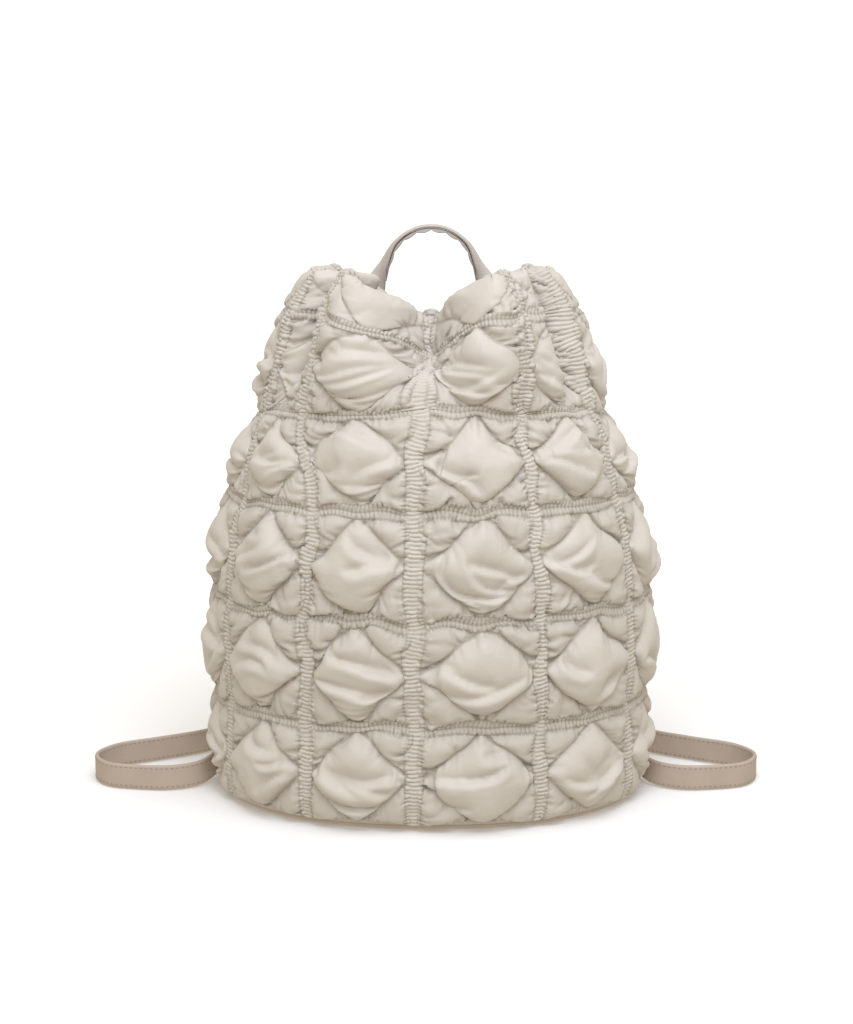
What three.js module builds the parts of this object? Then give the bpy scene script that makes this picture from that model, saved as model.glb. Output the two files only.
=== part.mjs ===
// Puffy quilted bucket backpack with a gathered collar, a leather base, a leather
// carry handle and two leather shoulder straps that lie on the floor beside it.
// Millimetres, +Z up, front of the bag towards -Y, origin at the middle of the base's underside.

import * as THREE from "three";

// Driving dimensions of the quilted wall
const COLUMNS = 12; // quilted diamonds round the bag
const STEPS_PER_CELL = 6; // facets across one diamond, each way
const INNER_STEPS_PER_ROW = 3; // facets up one row on the plain inner face
const BODY_ROWS = 4; // rows of diamonds below the neck seam
const RIM_ROW = 5.5; // the rim folds over half way up the sixth row
const WALL_BACKING = 3; // thickness of the wall where it is stitched through
const GROOVE_LEVEL = 1; // height of the stitched diamond edges above the smocked seams
const PUFF_SAG = 0.2; // share of its height by which a puff hangs down
const PLAN_SQUARENESS = 2.2; // exponent of the oval plan, 2 is an ellipse
const SEAT_GAP = 0.45; // clearance between a piece and what it is sewn to

// Seams between the quilted columns, in degrees round the bag from the front centre towards +X.
// The gathered collar pulls the front seams apart, so they lean from the body over the neck to the rim.
const SEAMS = [
  { seam: 0, body: -3.5, neck: -3, rim: 1 },
  { seam: 1, body: 26.5, neck: 27, rim: 32 },
  { seam: 2, body: 61.5, neck: 65, rim: 68 },
  { seam: 3, body: 94, neck: 96, rim: 96 },
  { seam: 4, body: 124, neck: 124, rim: 124 },
  { seam: 5, body: 152, neck: 152, rim: 152 },
  { seam: 6, body: 180, neck: 180, rim: 180 },
  { seam: 7, body: 208, neck: 208, rim: 208 },
  { seam: 8, body: 236, neck: 236, rim: 236 },
  { seam: 9, body: 265.5, neck: 263, rim: 263 },
  { seam: 10, body: 295.5, neck: 289, rim: 289 },
  { seam: 11, body: 328, neck: 315, rim: 317 },
  { seam: 12, body: 356.5, neck: 357, rim: 361 },
];

// Sections of the wall at its stitched level. row counts quilted rows up from the base, height is at the
// sides, frontRise is how much higher the front stands, gather is the share of the collar folds.
const SECTIONS = [
  { row: 0.0, height: 5.4, halfWidth: 131.5, halfDepth: 97.5, frontRise: 0, gather: 0 },
  { row: 0.25, height: 18, halfWidth: 134.5, halfDepth: 101.5, frontRise: 1, gather: 0 },
  { row: 0.5, height: 34, halfWidth: 135, halfDepth: 104, frontRise: 2, gather: 0 },
  { row: 1.0, height: 65, halfWidth: 135, halfDepth: 105.5, frontRise: 4, gather: 0 },
  { row: 1.5, height: 98.5, halfWidth: 136, halfDepth: 107, frontRise: 4, gather: 0 },
  { row: 2.0, height: 132, halfWidth: 135.5, halfDepth: 107, frontRise: 4, gather: 0 },
  { row: 2.5, height: 163, halfWidth: 132, halfDepth: 105, frontRise: 6, gather: 0 },
  { row: 3.0, height: 194, halfWidth: 125, halfDepth: 100.5, frontRise: 9, gather: 0 },
  { row: 3.5, height: 219, halfWidth: 116, halfDepth: 93, frontRise: 13, gather: 0 },
  { row: 4.0, height: 243, halfWidth: 106, halfDepth: 84, frontRise: 17, gather: 0.04 },
  { row: 4.5, height: 274, halfWidth: 98, halfDepth: 80, frontRise: 14, gather: 0.52 },
  { row: 5.0, height: 308, halfWidth: 89, halfDepth: 71, frontRise: 10, gather: 0.85 },
  { row: 5.5, height: 331, halfWidth: 75, halfDepth: 59, frontRise: 9, gather: 1 },
];
const NORMAL_STEP = 0.04; // columns and rows each way over which the wall's direction is taken
const BACK_TILT = 0.4; // the back of the bag sinks by this share of the front's rise

// Height of the padded diamonds and of the small triangles between them, for each row of the quilt.
const PUFFS = [
  { diamond: 11.5, triangle: 5 },
  { diamond: 12, triangle: 5 },
  { diamond: 12, triangle: 5 },
  { diamond: 11.5, triangle: 5 },
  { diamond: 9.5, triangle: 5 },
  { diamond: 5, triangle: 4 },
];

const TRIANGLE_CREST = 27; // makes the product of three distances that add up to 1 reach 1 in the middle

// Folds that draw the collar in, and the lobes between them. angle is round the bag from the front
// centre, before and after are how far a fold spreads each way, depth is the share of the radius it takes
// at the rim, or adds where it is below 0, dip lowers the rim and squeeze is the share of the padding that
// it presses flat.
const FOLDS = [
  { angle: 0, before: 40, after: 24, depth: 0.24, dip: 25, squeeze: 0.15 },
  { angle: 0, before: 16, after: 12, depth: 0.16, dip: 10, squeeze: 0.4 },
  { angle: 22, before: 16, after: 16, depth: -0.22, dip: 0, squeeze: 0 },
  { angle: -26, before: 18, after: 18, depth: -0.25, dip: 0, squeeze: 0 },
  { angle: 55, before: 9, after: 14, depth: 0.4, dip: 5, squeeze: 0.9 },
  { angle: -56, before: 13, after: 10, depth: 0.4, dip: 5, squeeze: 0.9 },
  { angle: 180, before: 62, after: 62, depth: 0.2, dip: 31, squeeze: 0 },
];
const DIP_ROWS = [4.1, 5.2]; // the rim's dips grow from none to full between these rows
const SQUEEZE_GATHER = [0, 0.6]; // folds squeeze the padding from none to full over this much gather

// Leather trim
const BASE = { halfWidth: 133.5, halfDepth: 99.5, thickness: 5, edgeRadius: 1.6, segments: 48 };
const STRAP = { width: 16, thickness: 2.6, steps: 58 };
const HANDLE = {
  width: 15,
  thickness: 2,
  steps: 80,
  topHeight: 354,
  topDepth: 46,
  halfSpan: 31.5,
  rise: 35,
  lean: 0.55, // share of the way to its top depth that the arch still has to go where it leaves the collar
  turnToFront: 0.36, // how far the legs' outer sides look to the front
  turnSharpness: 7, // how late on the way down to the legs that turn comes
  leanBack: 0.12, // how far the top's outer side looks to the back
  turns: [-75, -45, -15, 15, 45, 75], // stations of the arch, in degrees from its top
};
const HANDLE_LINING = {
  width: 12.5,
  thinnest: 0.7,
  pucker: 1.7,
  puckers: 10,
  steps: 30,
  reach: [0.31, 0.69], // shares of the handle's length between which it runs
};
const EDGE_ROUNDING = { share: 0.35, most: 0.9 }; // of a leather strip's long edges

// Where the leather is sewn on to the wall, in quilt columns and rows. The padding is pressed flat there.
const HANDLE_SEAT = { column: 1.1, fromRow: 4.12, toRow: 5.35 };
const STRAP_TOP_SEAT = { column: 0.4, fromRow: 3.58, toRow: 3.94 };
const STRAP_FOOT_SEAT = { fromColumn: 3.55, toColumn: 3.12, row: 0.17 };
const PRESSED_LEVEL = 1; // height of the padding under a sewn piece
const SEAT_STATIONS = 5; // places along a seat where its piece follows the wall
const BACK_COLUMN = COLUMNS / 2;
const PRESSED = [-1, 1].flatMap((side) => [
  { column: BACK_COLUMN + side * HANDLE_SEAT.column, halfColumns: 0.42, fromRow: 4, toRow: RIM_ROW + 1 },
  { column: BACK_COLUMN + side * STRAP_TOP_SEAT.column, halfColumns: 0.38, fromRow: 2.95, toRow: BODY_ROWS },
  { column: side * STRAP_FOOT_SEAT.toColumn, halfColumns: 0.75, fromRow: 0, toRow: 0.55 },
]);

// Route of a strap after it leaves the back of the bag: down the back, along the floor, out to the
// side and round to its foot. x is outwards, and face is the way its outer side looks, in degrees from
// outwards. The left strap lies a little further out than the right one.
const STRAP_SPREAD = { right: 0.984, left: 1.016 };
const STRAP_ROUTE = [
  { x: 20, y: 104, z: 195, face: 90 },
  { x: 21, y: 115, z: 177, face: 90 },
  { x: 23, y: 121.5, z: 158, face: 90 },
  { x: 30, y: 124.5, z: 124, face: 89 },
  { x: 46, y: 124, z: 76, face: 84 },
  { x: 66, y: 120, z: 35, face: 74 },
  { x: 92, y: 108, z: 12.5, face: 62 },
  { x: 122, y: 78, z: 8.6, face: 47 },
  { x: 148, y: 52, z: 8.6, face: 52 },
  { x: 176, y: 36, z: 8.6, face: 61 },
  { x: 202, y: 22, z: 8.6, face: 48 },
  { x: 213, y: 3, z: 8.6, face: 4 },
  { x: 205, y: -15, z: 8.6, face: -49 },
  { x: 184, y: -22, z: 8.6, face: -79 },
  { x: 163, y: -23, z: 8.8, face: -99 },
  { x: 147, y: -16, z: 9.4, face: -130 },
  { x: 139, y: -3, z: 10.4, face: -159 },
];

const WALL_COLOUR = 0xd8d1c5;
const LEATHER_COLOUR = 0xb9a596;
const wallMaterial = new THREE.MeshStandardMaterial({ color: WALL_COLOUR, roughness: 0.62, metalness: 0 });
const leatherMaterial = new THREE.MeshStandardMaterial({
  color: LEATHER_COLOUR,
  roughness: 0.5,
  metalness: 0,
});

const { degToRad, smoothstep, clamp, lerp } = THREE.MathUtils;
const UP = new THREE.Vector3(0, 0, 1);

// Value of one column of a table at a place along its row column, on a smooth curve through the rows.
function alongSections(row, name) {
  const last = SECTIONS.length - 2;
  const found = SECTIONS.findIndex((section) => section.row > row) - 1;
  const i = found < 0 ? last : Math.min(found, last);
  const slope = (k) => {
    const a = SECTIONS[Math.max(k - 1, 0)];
    const b = SECTIONS[Math.min(k + 1, SECTIONS.length - 1)];
    return (b[name] - a[name]) / (b.row - a.row);
  };
  const [from, to] = [SECTIONS[i], SECTIONS[i + 1]];
  const span = to.row - from.row;
  const s = (row - from.row) / span;
  const [s2, s3] = [s * s, s * s * s];
  return (
    (2 * s3 - 3 * s2 + 1) * from[name] +
    (s3 - 2 * s2 + s) * span * slope(i) +
    (3 * s2 - 2 * s3) * to[name] +
    (s3 - s2) * span * slope(i + 1)
  );
}

// Angle round the bag of a quilt column, which shifts from the body over the neck to the rim.
function columnAngle(column, row) {
  const turned = (column + COLUMNS) % COLUMNS;
  const low = Math.floor(turned);
  const toNeck = smoothstep(row, BODY_ROWS - 1, BODY_ROWS);
  const toRim = smoothstep(row, BODY_ROWS, RIM_ROW);
  const seamAngle = (seam) => lerp(lerp(seam.body, seam.neck, toNeck), seam.rim, toRim);
  return lerp(seamAngle(SEAMS[low]), seamAngle(SEAMS[low + 1]), turned - low);
}

// How strongly a fold acts at an angle, from 0 outside it to 1 at its crease.
function foldAt(fold, angle) {
  const away = ((angle - fold.angle + 540) % 360) - 180;
  const share = away < 0 ? -away / fold.before : away / fold.after;
  return share < 1 ? Math.cos((share * Math.PI) / 2) ** 2 : 0;
}

// Point of the wall at its stitched level, before any padding.
function stitchedPoint(column, row) {
  const gather = alongSections(row, "gather");
  const angle = columnAngle(column, row);
  const acting = FOLDS.map((fold) => foldAt(fold, angle));
  const drawnIn = FOLDS.reduce((sum, fold, i) => sum + fold.depth * acting[i], 0);
  const dip = FOLDS.reduce((sum, fold, i) => sum + fold.dip * acting[i], 0);
  const radius = 1 - gather * drawnIn;
  const [across, along] = [Math.sin(degToRad(angle)), -Math.cos(degToRad(angle))];
  const squared = (value) => Math.sign(value) * Math.abs(value) ** (2 / PLAN_SQUARENESS);
  const tilt = along < 0 ? -along : -along * BACK_TILT;
  const raised = alongSections(row, "frontRise") * tilt - dip * smoothstep(row, ...DIP_ROWS);
  return new THREE.Vector3(
    alongSections(row, "halfWidth") * squared(across) * radius,
    alongSections(row, "halfDepth") * squared(along) * radius,
    alongSections(row, "height") + raised,
  );
}

// Outward direction of the wall at its stitched level.
function wallNormal(column, row) {
  const [low, high] = [Math.max(row - NORMAL_STEP, 0), Math.min(row + NORMAL_STEP, RIM_ROW)];
  const around = stitchedPoint(column + NORMAL_STEP, row).sub(stitchedPoint(column - NORMAL_STEP, row));
  const upwards = stitchedPoint(column, high).sub(stitchedPoint(column, low));
  return around.cross(upwards).normalize();
}

// Share of the padding left beside the sewn pieces and inside the collar folds, from 0 to 1.
function paddingLeft(column, row) {
  const gather = alongSections(row, "gather");
  const angle = columnAngle(column, row);
  const squeezed = FOLDS.reduce((most, fold) => Math.max(most, fold.squeeze * foldAt(fold, angle)), 0);
  const pressed = PRESSED.some((zone) => {
    const half = COLUMNS / 2;
    const away = Math.abs(((column - zone.column + COLUMNS + half) % COLUMNS) - half);
    return away < zone.halfColumns && row > zone.fromRow && row < zone.toRow;
  });
  return pressed ? 0 : 1 - squeezed * smoothstep(gather, ...SQUEEZE_GATHER);
}

// Height of the padding above the stitched level: a diamond in each cell and four corner triangles.
function puffHeight(column, row) {
  const puff = PUFFS[clamp(Math.floor(row), 0, PUFFS.length - 1)];
  const fromColumnSeam = 1 - Math.abs(2 * (column - Math.floor(column)) - 1);
  const fromRowSeam = 1 - Math.abs(2 * (row - Math.floor(row)) - 1);
  const fromEdge = fromColumnSeam + fromRowSeam - 1;
  const groove = GROOVE_LEVEL * Math.min(1, 4 * fromColumnSeam * fromRowSeam);
  const padding =
    fromEdge > 0
      ? puff.diamond * Math.sqrt(1 - (1 - fromEdge) ** 2)
      : puff.triangle * TRIANGLE_CREST * fromColumnSeam * fromRowSeam * -fromEdge;
  return groove + padding;
}

// Point of the padded outer face.
function outerPoint(column, row) {
  const left = paddingLeft(column, row);
  const height = left > 0 ? puffHeight(column, row) * left : Math.min(PRESSED_LEVEL, puffHeight(column, row));
  const point = stitchedPoint(column, row).addScaledVector(wallNormal(column, row), height);
  point.z -= PUFF_SAG * height * left;
  return point;
}

// Point of the plain inner face.
function innerPoint(column, row) {
  return stitchedPoint(column, row).addScaledVector(wallNormal(column, row), -WALL_BACKING);
}

// Closed solid through a ring of rings, each of the same number of points.
function ringSolid(rings, isFlipped) {
  const around = rings[0].length;
  const index = [];
  rings.forEach((_, j) => {
    const next = (j + 1) % rings.length;
    for (let i = 0; i < around; i++) {
      const right = (i + 1) % around;
      const [a, b] = [j * around + i, j * around + right];
      const [c, d] = [next * around + right, next * around + i];
      index.push(...(isFlipped(i, j) ? [a, b, d, b, c, d] : [a, b, c, a, c, d]));
    }
  });
  const geometry = new THREE.BufferGeometry().setFromPoints(rings.flat());
  geometry.setIndex(index);
  return geometry;
}

// Stretch of the quilted wall between two rows, with its rounded rim where it reaches the top.
function quiltedWall(fromRow, toRow) {
  const around = COLUMNS * STEPS_PER_CELL;
  const ring = (place, row) => Array.from({ length: around }, (_, i) => place(i / STEPS_PER_CELL, row));
  const outerSteps = Math.round((toRow - fromRow) * STEPS_PER_CELL);
  const outerRow = (j) => fromRow + ((toRow - fromRow) * j) / outerSteps;
  const rings = [];
  for (let j = 0; j <= outerSteps; j++) rings.push(ring(outerPoint, outerRow(j)));
  if (toRow === RIM_ROW) {
    const crest = (column, row) =>
      outerPoint(column, row).lerp(innerPoint(column, row), 0.5).addScaledVector(UP, WALL_BACKING);
    rings.push(ring(crest, toRow));
  }
  const innerSteps = Math.ceil((toRow - fromRow) * INNER_STEPS_PER_ROW);
  for (let j = innerSteps; j >= 0; j--) {
    rings.push(ring(innerPoint, fromRow + ((toRow - fromRow) * j) / innerSteps));
  }
  // Facets are split along the stitched edges of the diamonds.
  const cellHalf = (k) => ((k % STEPS_PER_CELL) + 0.5) / STEPS_PER_CELL < 0.5;
  return ringSolid(rings, (i, j) => cellHalf(i) === cellHalf(j));
}

// Oval leather base with a softened edge, its underside flat on the floor.
function basePanel() {
  const shape = new THREE.Shape();
  const outline = Array.from({ length: BASE.segments }, (_, i) => {
    const angle = (i * 2 * Math.PI) / BASE.segments;
    const squared = (value) => Math.sign(value) * Math.abs(value) ** (2 / PLAN_SQUARENESS);
    return new THREE.Vector2(
      (BASE.halfWidth - BASE.edgeRadius) * squared(Math.cos(angle)),
      (BASE.halfDepth - BASE.edgeRadius) * squared(Math.sin(angle)),
    );
  });
  shape.setFromPoints(outline);
  const geometry = new THREE.ExtrudeGeometry(shape, {
    depth: BASE.thickness - 2 * BASE.edgeRadius,
    bevelThickness: BASE.edgeRadius,
    bevelSize: BASE.edgeRadius,
    bevelSegments: 1,
  });
  return geometry.translate(0, 0, BASE.edgeRadius);
}

// Flat leather strip swept through stations, each a point and the way the strip's outer side looks.
// profile gives the half width and the two faces' offsets at a share of the strip's length, and reach
// is the stretch of the stations' curve that the strip takes up.
function sweptStrip(stations, steps, profile, reach = [0, 1]) {
  const curve = new THREE.CatmullRomCurve3(stations.map((station) => station.point));
  const rings = [];
  for (let k = 0; k <= steps; k++) {
    const share = k / steps;
    const t = curve.getUtoTmapping(lerp(reach[0], reach[1], share));
    const place = t * (stations.length - 1);
    const low = Math.min(Math.floor(place), stations.length - 2);
    const face = stations[low].face.clone().lerp(stations[low + 1].face, place - low);
    const tangent = curve.getTangent(t);
    const normal = face.addScaledVector(tangent, -face.dot(tangent)).normalize();
    const side = tangent.clone().cross(normal);
    const { halfWidth, outer, inner } = profile(share);
    const centre = curve.getPoint(t);
    const round = Math.min(EDGE_ROUNDING.share * (outer - inner), EDGE_ROUNDING.most);
    const section = [
      [-halfWidth, inner + round],
      [-halfWidth + round, inner],
      [halfWidth - round, inner],
      [halfWidth, inner + round],
      [halfWidth, outer - round],
      [halfWidth - round, outer],
      [-halfWidth + round, outer],
      [-halfWidth, outer - round],
    ];
    const corner = ([across, out]) =>
      centre.clone().addScaledVector(side, across).addScaledVector(normal, out);
    rings.push(section.map(corner));
  }
  return cappedRings(rings);
}

// Closed solid through rings in a line, with a flat cap on each end. Both faces of a twisted strip are
// split along the same diagonals, so that it keeps its thickness.
function cappedRings(rings) {
  const around = rings[0].length;
  const index = [];
  for (let j = 0; j < rings.length - 1; j++) {
    for (let i = 0; i < around; i++) {
      const right = (i + 1) % around;
      const [a, b] = [j * around + i, j * around + right];
      const [c, d] = [b + around, a + around];
      index.push(...(i < around / 2 ? [a, c, b, a, d, c] : [a, d, b, b, d, c]));
    }
  }
  const last = (rings.length - 1) * around;
  for (let i = 1; i < around - 1; i++) {
    index.push(0, i, i + 1, last, last + i + 1, last + i);
  }
  const geometry = new THREE.BufferGeometry().setFromPoints(rings.flat());
  geometry.setIndex(index);
  return geometry;
}

// Station on the wall: a point held off the pressed padding and the way the wall looks there.
function wallStation(column, row, offset, facing) {
  const normal = wallNormal(column, row);
  const point = stitchedPoint(column, row).addScaledVector(normal, PRESSED_LEVEL + SEAT_GAP + offset);
  return { point, face: normal.multiplyScalar(facing) };
}

// Places along a seat where its piece is held to the wall.
function evenly(from, to) {
  return Array.from({ length: SEAT_STATIONS }, (_, i) => lerp(from, to, i / (SEAT_STATIONS - 1)));
}

// Stations of a shoulder strap on one side of the bag, from its top seat to its foot.
function strapStations(side) {
  const offset = STRAP.thickness / 2;
  const top = STRAP_TOP_SEAT;
  const topColumn = BACK_COLUMN - side * top.column;
  const seat = evenly(top.toRow, top.fromRow).map((row) => wallStation(topColumn, row, offset, 1));
  const spread = side * (side > 0 ? STRAP_SPREAD.right : STRAP_SPREAD.left);
  const route = STRAP_ROUTE.map(({ x, y, z, face }) => ({
    point: new THREE.Vector3(spread * x, y, z),
    face: new THREE.Vector3(side * Math.cos(degToRad(face)), Math.sin(degToRad(face)), 0),
  }));
  const foot = STRAP_FOOT_SEAT;
  const footColumns = evenly(foot.toColumn, foot.fromColumn);
  const end = footColumns.map((column) => wallStation(side * column, foot.row, offset, -1));
  return [...seat, ...route, ...end];
}

function shoulderStrap(side) {
  const half = STRAP.thickness / 2;
  return sweptStrip(strapStations(side), STRAP.steps, () => ({
    halfWidth: STRAP.width / 2,
    outer: half,
    inner: -half,
  }));
}

// Stations of the carry handle, from its left seat over the top to its right seat. The strip lies
// flat on the back of the collar and turns edge on to the front at the top of its arch.
function handleStations() {
  const seatRows = evenly(HANDLE_SEAT.fromRow, HANDLE_SEAT.toRow);
  const seatOn = (side) => {
    const column = BACK_COLUMN - side * HANDLE_SEAT.column;
    return seatRows.map((row) => wallStation(column, row, HANDLE.thickness / 2, -1));
  };
  const left = seatOn(-1);
  const right = seatOn(1).reverse();
  const archFoot = HANDLE.topHeight - HANDLE.rise;
  const seatTop = left[left.length - 1].point;
  const arch = HANDLE.turns.map((turn) => {
    const [across, up] = [Math.sin(degToRad(turn)), Math.cos(degToRad(turn))];
    const depth = lerp(seatTop.y, HANDLE.topDepth, 1 - HANDLE.lean * (1 - up));
    return {
      point: new THREE.Vector3(HANDLE.halfSpan * across, depth, archFoot + HANDLE.rise * up),
      face: new THREE.Vector3(
        across,
        HANDLE.leanBack * up - HANDLE.turnToFront * Math.abs(across) ** HANDLE.turnSharpness,
        up,
      ).normalize(),
    };
  });
  return [...left, ...arch, ...right];
}

function carryHandle() {
  const half = HANDLE.thickness / 2;
  return sweptStrip(handleStations(), HANDLE.steps, () => ({
    halfWidth: HANDLE.width / 2,
    outer: half,
    inner: -half,
  }));
}

// Inner ply of the handle, which puckers where the arch shortens it.
function handleLining() {
  const face = -HANDLE.thickness / 2 - SEAT_GAP;
  const pleat = (share) => {
    const wave = 0.5 - 0.5 * Math.cos(share * HANDLE_LINING.puckers * 2 * Math.PI);
    return HANDLE_LINING.pucker * wave * Math.sin(share * Math.PI);
  };
  const profile = (share) => ({
    halfWidth: HANDLE_LINING.width / 2,
    outer: face,
    inner: face - HANDLE_LINING.thinnest - pleat(share),
  });
  return sweptStrip(handleStations(), HANDLE_LINING.steps, profile, HANDLE_LINING.reach);
}

function named(name, geometry, material) {
  const mesh = new THREE.Mesh(geometry, material);
  mesh.name = name;
  return mesh;
}

const NECK_GAP = 0.012; // in quilt rows, the slit between body and collar along the neck seam

const bag = new THREE.Group();
bag.add(named("quilted_body", quiltedWall(0, BODY_ROWS), wallMaterial));
bag.add(named("gathered_collar", quiltedWall(BODY_ROWS + NECK_GAP, RIM_ROW), wallMaterial));
bag.add(named("base_panel", basePanel(), leatherMaterial));

const carry = new THREE.Group();
carry.add(named("carry_handle", carryHandle(), leatherMaterial));
carry.add(named("handle_lining", handleLining(), leatherMaterial));
carry.add(named("shoulder_strap_right", shoulderStrap(1), leatherMaterial));
carry.add(named("shoulder_strap_left", shoulderStrap(-1), leatherMaterial));

const backpack = new THREE.Group();
backpack.add(bag, carry);

export default backpack;
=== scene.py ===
"""Looks of a puffy quilted bucket backpack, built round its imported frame.

The quilted wall is one cloth, held along its stitched lines and swollen between them by a cloth
simulation. Gathered bands, leather trim and stitches are laid on it. Sizes are in millimetres until a
mesh is made, and the meshes are in metres in the frame's own axes: +Z up, front towards -Y.
"""
import logging
import math
from dataclasses import dataclass, field
from enum import Enum
from typing import Any, Callable, Iterable, Iterator

import bmesh
import bpy
import numpy as np
from mathutils import Matrix, Vector


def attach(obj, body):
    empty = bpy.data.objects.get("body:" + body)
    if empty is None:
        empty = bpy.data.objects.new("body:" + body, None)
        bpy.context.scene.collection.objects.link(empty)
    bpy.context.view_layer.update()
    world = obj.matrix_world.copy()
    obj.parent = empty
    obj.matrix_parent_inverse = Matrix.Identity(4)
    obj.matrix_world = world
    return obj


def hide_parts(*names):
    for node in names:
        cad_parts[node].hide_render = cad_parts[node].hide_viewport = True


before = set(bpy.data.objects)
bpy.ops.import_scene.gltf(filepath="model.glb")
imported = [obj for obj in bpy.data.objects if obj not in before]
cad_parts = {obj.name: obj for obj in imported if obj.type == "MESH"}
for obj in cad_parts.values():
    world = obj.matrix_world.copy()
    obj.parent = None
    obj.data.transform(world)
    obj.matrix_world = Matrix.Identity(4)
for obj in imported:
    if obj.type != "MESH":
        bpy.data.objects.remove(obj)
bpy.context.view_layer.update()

LOG = logging.getLogger("backpack")
Array = np.ndarray
Random = np.random.Generator
Piece = bpy.types.Object
Material = bpy.types.Material
Span = tuple[float, float]
Place = tuple[float, float, float]
Colour = tuple[float, float, float, float]

METRE = 0.001
BODY = "root"
COLUMNS = 12
BODY_ROWS = 4
RIM_ROW = 5.5
HEM_ROW = 6
FRONT_SEAMS = (9, 10, 11, 0, 1, 2)
BACK_SEAMS = range(3, 9)
COLLAR_BAND_TOP = 5.95
STRAP_SPREADS = ((1, 0.984), (-1, 1.016))
CELL = 62.0
WAVES = 14
WAVE_PEAK = 1.5
TINY = 1e-9
SHORTEST = 1e-6
MERGE = 1e-7


class Slot(Enum):
    """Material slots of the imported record."""

    FABRIC = "quilted_fabric"
    LEATHER = "leather"


class Run(Enum):
    """Which way a smocked band runs over the quilt."""

    UPRIGHT = "upright"
    CROSS = "cross"


def smoothstep(value: Array, low: float, high: float) -> Array:
    """Returns 0 below low, 1 above high and a smooth step between them."""
    share = np.clip((value - low) / (high - low), 0.0, 1.0)
    return share * share * (3.0 - 2.0 * share)


def unit(vectors: Array, least: float = 0.0) -> Array:
    """Vectors of length 1, from an array of 3 by any shape; least keeps empty ones whole."""
    return vectors / (np.sqrt((vectors * vectors).sum(0)) + least)


def to_seam(place: Array) -> Array:
    """Distances of quilt columns or rows from the nearest seam, in cells."""
    return np.minimum(place % 1, 1 - place % 1)


def wave_field(column: Array, row: Array, rng: Random, finest: float) -> Array:
    """Smooth random field over the quilt, the same on both sides of the seam where it closes.

    Args:
        column: Quilt columns, of any shape that goes with row.
        row: Quilt rows.
        rng: Seeded source of the waves.
        finest: Most waves in one quilt cell.

    Returns:
        Values of about -1 to 1.
    """
    total = np.zeros(np.broadcast(column, row).shape)
    for _ in range(WAVES):
        around = rng.integers(-int(finest * COLUMNS), int(finest * COLUMNS) + 1)
        upwards = rng.uniform(-finest, finest)
        phase = rng.uniform(0.0, math.tau)
        total += np.sin(math.tau * (around * column / COLUMNS + upwards * row) + phase)
    return total * math.sqrt(2.0 / WAVES) / WAVE_PEAK


def grid_normals(points: Array) -> Array:
    """Unit normals of a grid of points that closes on itself along its columns.

    Args:
        points: Array of 3 by rows by columns.

    Returns:
        Normals in the same layout, outwards for the quilted wall.
    """
    across = np.roll(points, -1, 2) - np.roll(points, 1, 2)
    upwards = np.empty_like(points)
    upwards[:, 1:-1] = points[:, 2:] - points[:, :-2]
    upwards[:, 0] = points[:, 1] - points[:, 0]
    upwards[:, -1] = points[:, -1] - points[:, -2]
    return unit(np.stack((
        across[1] * upwards[2] - across[2] * upwards[1],
        across[2] * upwards[0] - across[0] * upwards[2],
        across[0] * upwards[1] - across[1] * upwards[0],
    )), TINY)


def line_over_cell(x: Array, y: Array, start: Span, heading: float, length: float) -> tuple[Array, Array]:
    """Follows a straight line over a quilt cell.

    Args:
        x: Places across the cell, from -1 to 1.
        y: Places up the cell, from -1 to 1.
        start: Where the line starts.
        heading: Its direction in radians.
        length: Its length.

    Returns:
        Shares of the way along the line, and distances above it.
    """
    dx, dy = x - start[0], y - start[1]
    ahead = dx * math.cos(heading) + dy * math.sin(heading)
    above = (dy * math.cos(heading) - dx * math.sin(heading)) * math.copysign(1.0, math.cos(heading))
    return np.clip(ahead / length, 0.0, 1.0), above


@dataclass(frozen=True)
class Seam:
    """Upright seam of the quilt: degrees round the bag on the body, at the neck and at the rim."""

    body: float
    neck: float
    rim: float


@dataclass(frozen=True)
class Section:
    """Plan of the wall at one height: row of the quilt, size, rise of the front and share of the folds."""

    row: float
    height: float
    half_width: float
    half_depth: float
    front_rise: float
    gather: float


@dataclass(frozen=True)
class Fold:
    """Fold that draws the collar in: where it is, how far it spreads each way, and what it does there."""

    angle: float
    before: float
    after: float
    depth: float
    dip: float
    squeeze: float


@dataclass(frozen=True)
class PressedZone:
    """Stretch of wall where a sewn piece presses the padding flat, in quilt columns and rows."""

    column: float
    half_columns: float
    from_row: float
    to_row: float


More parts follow.
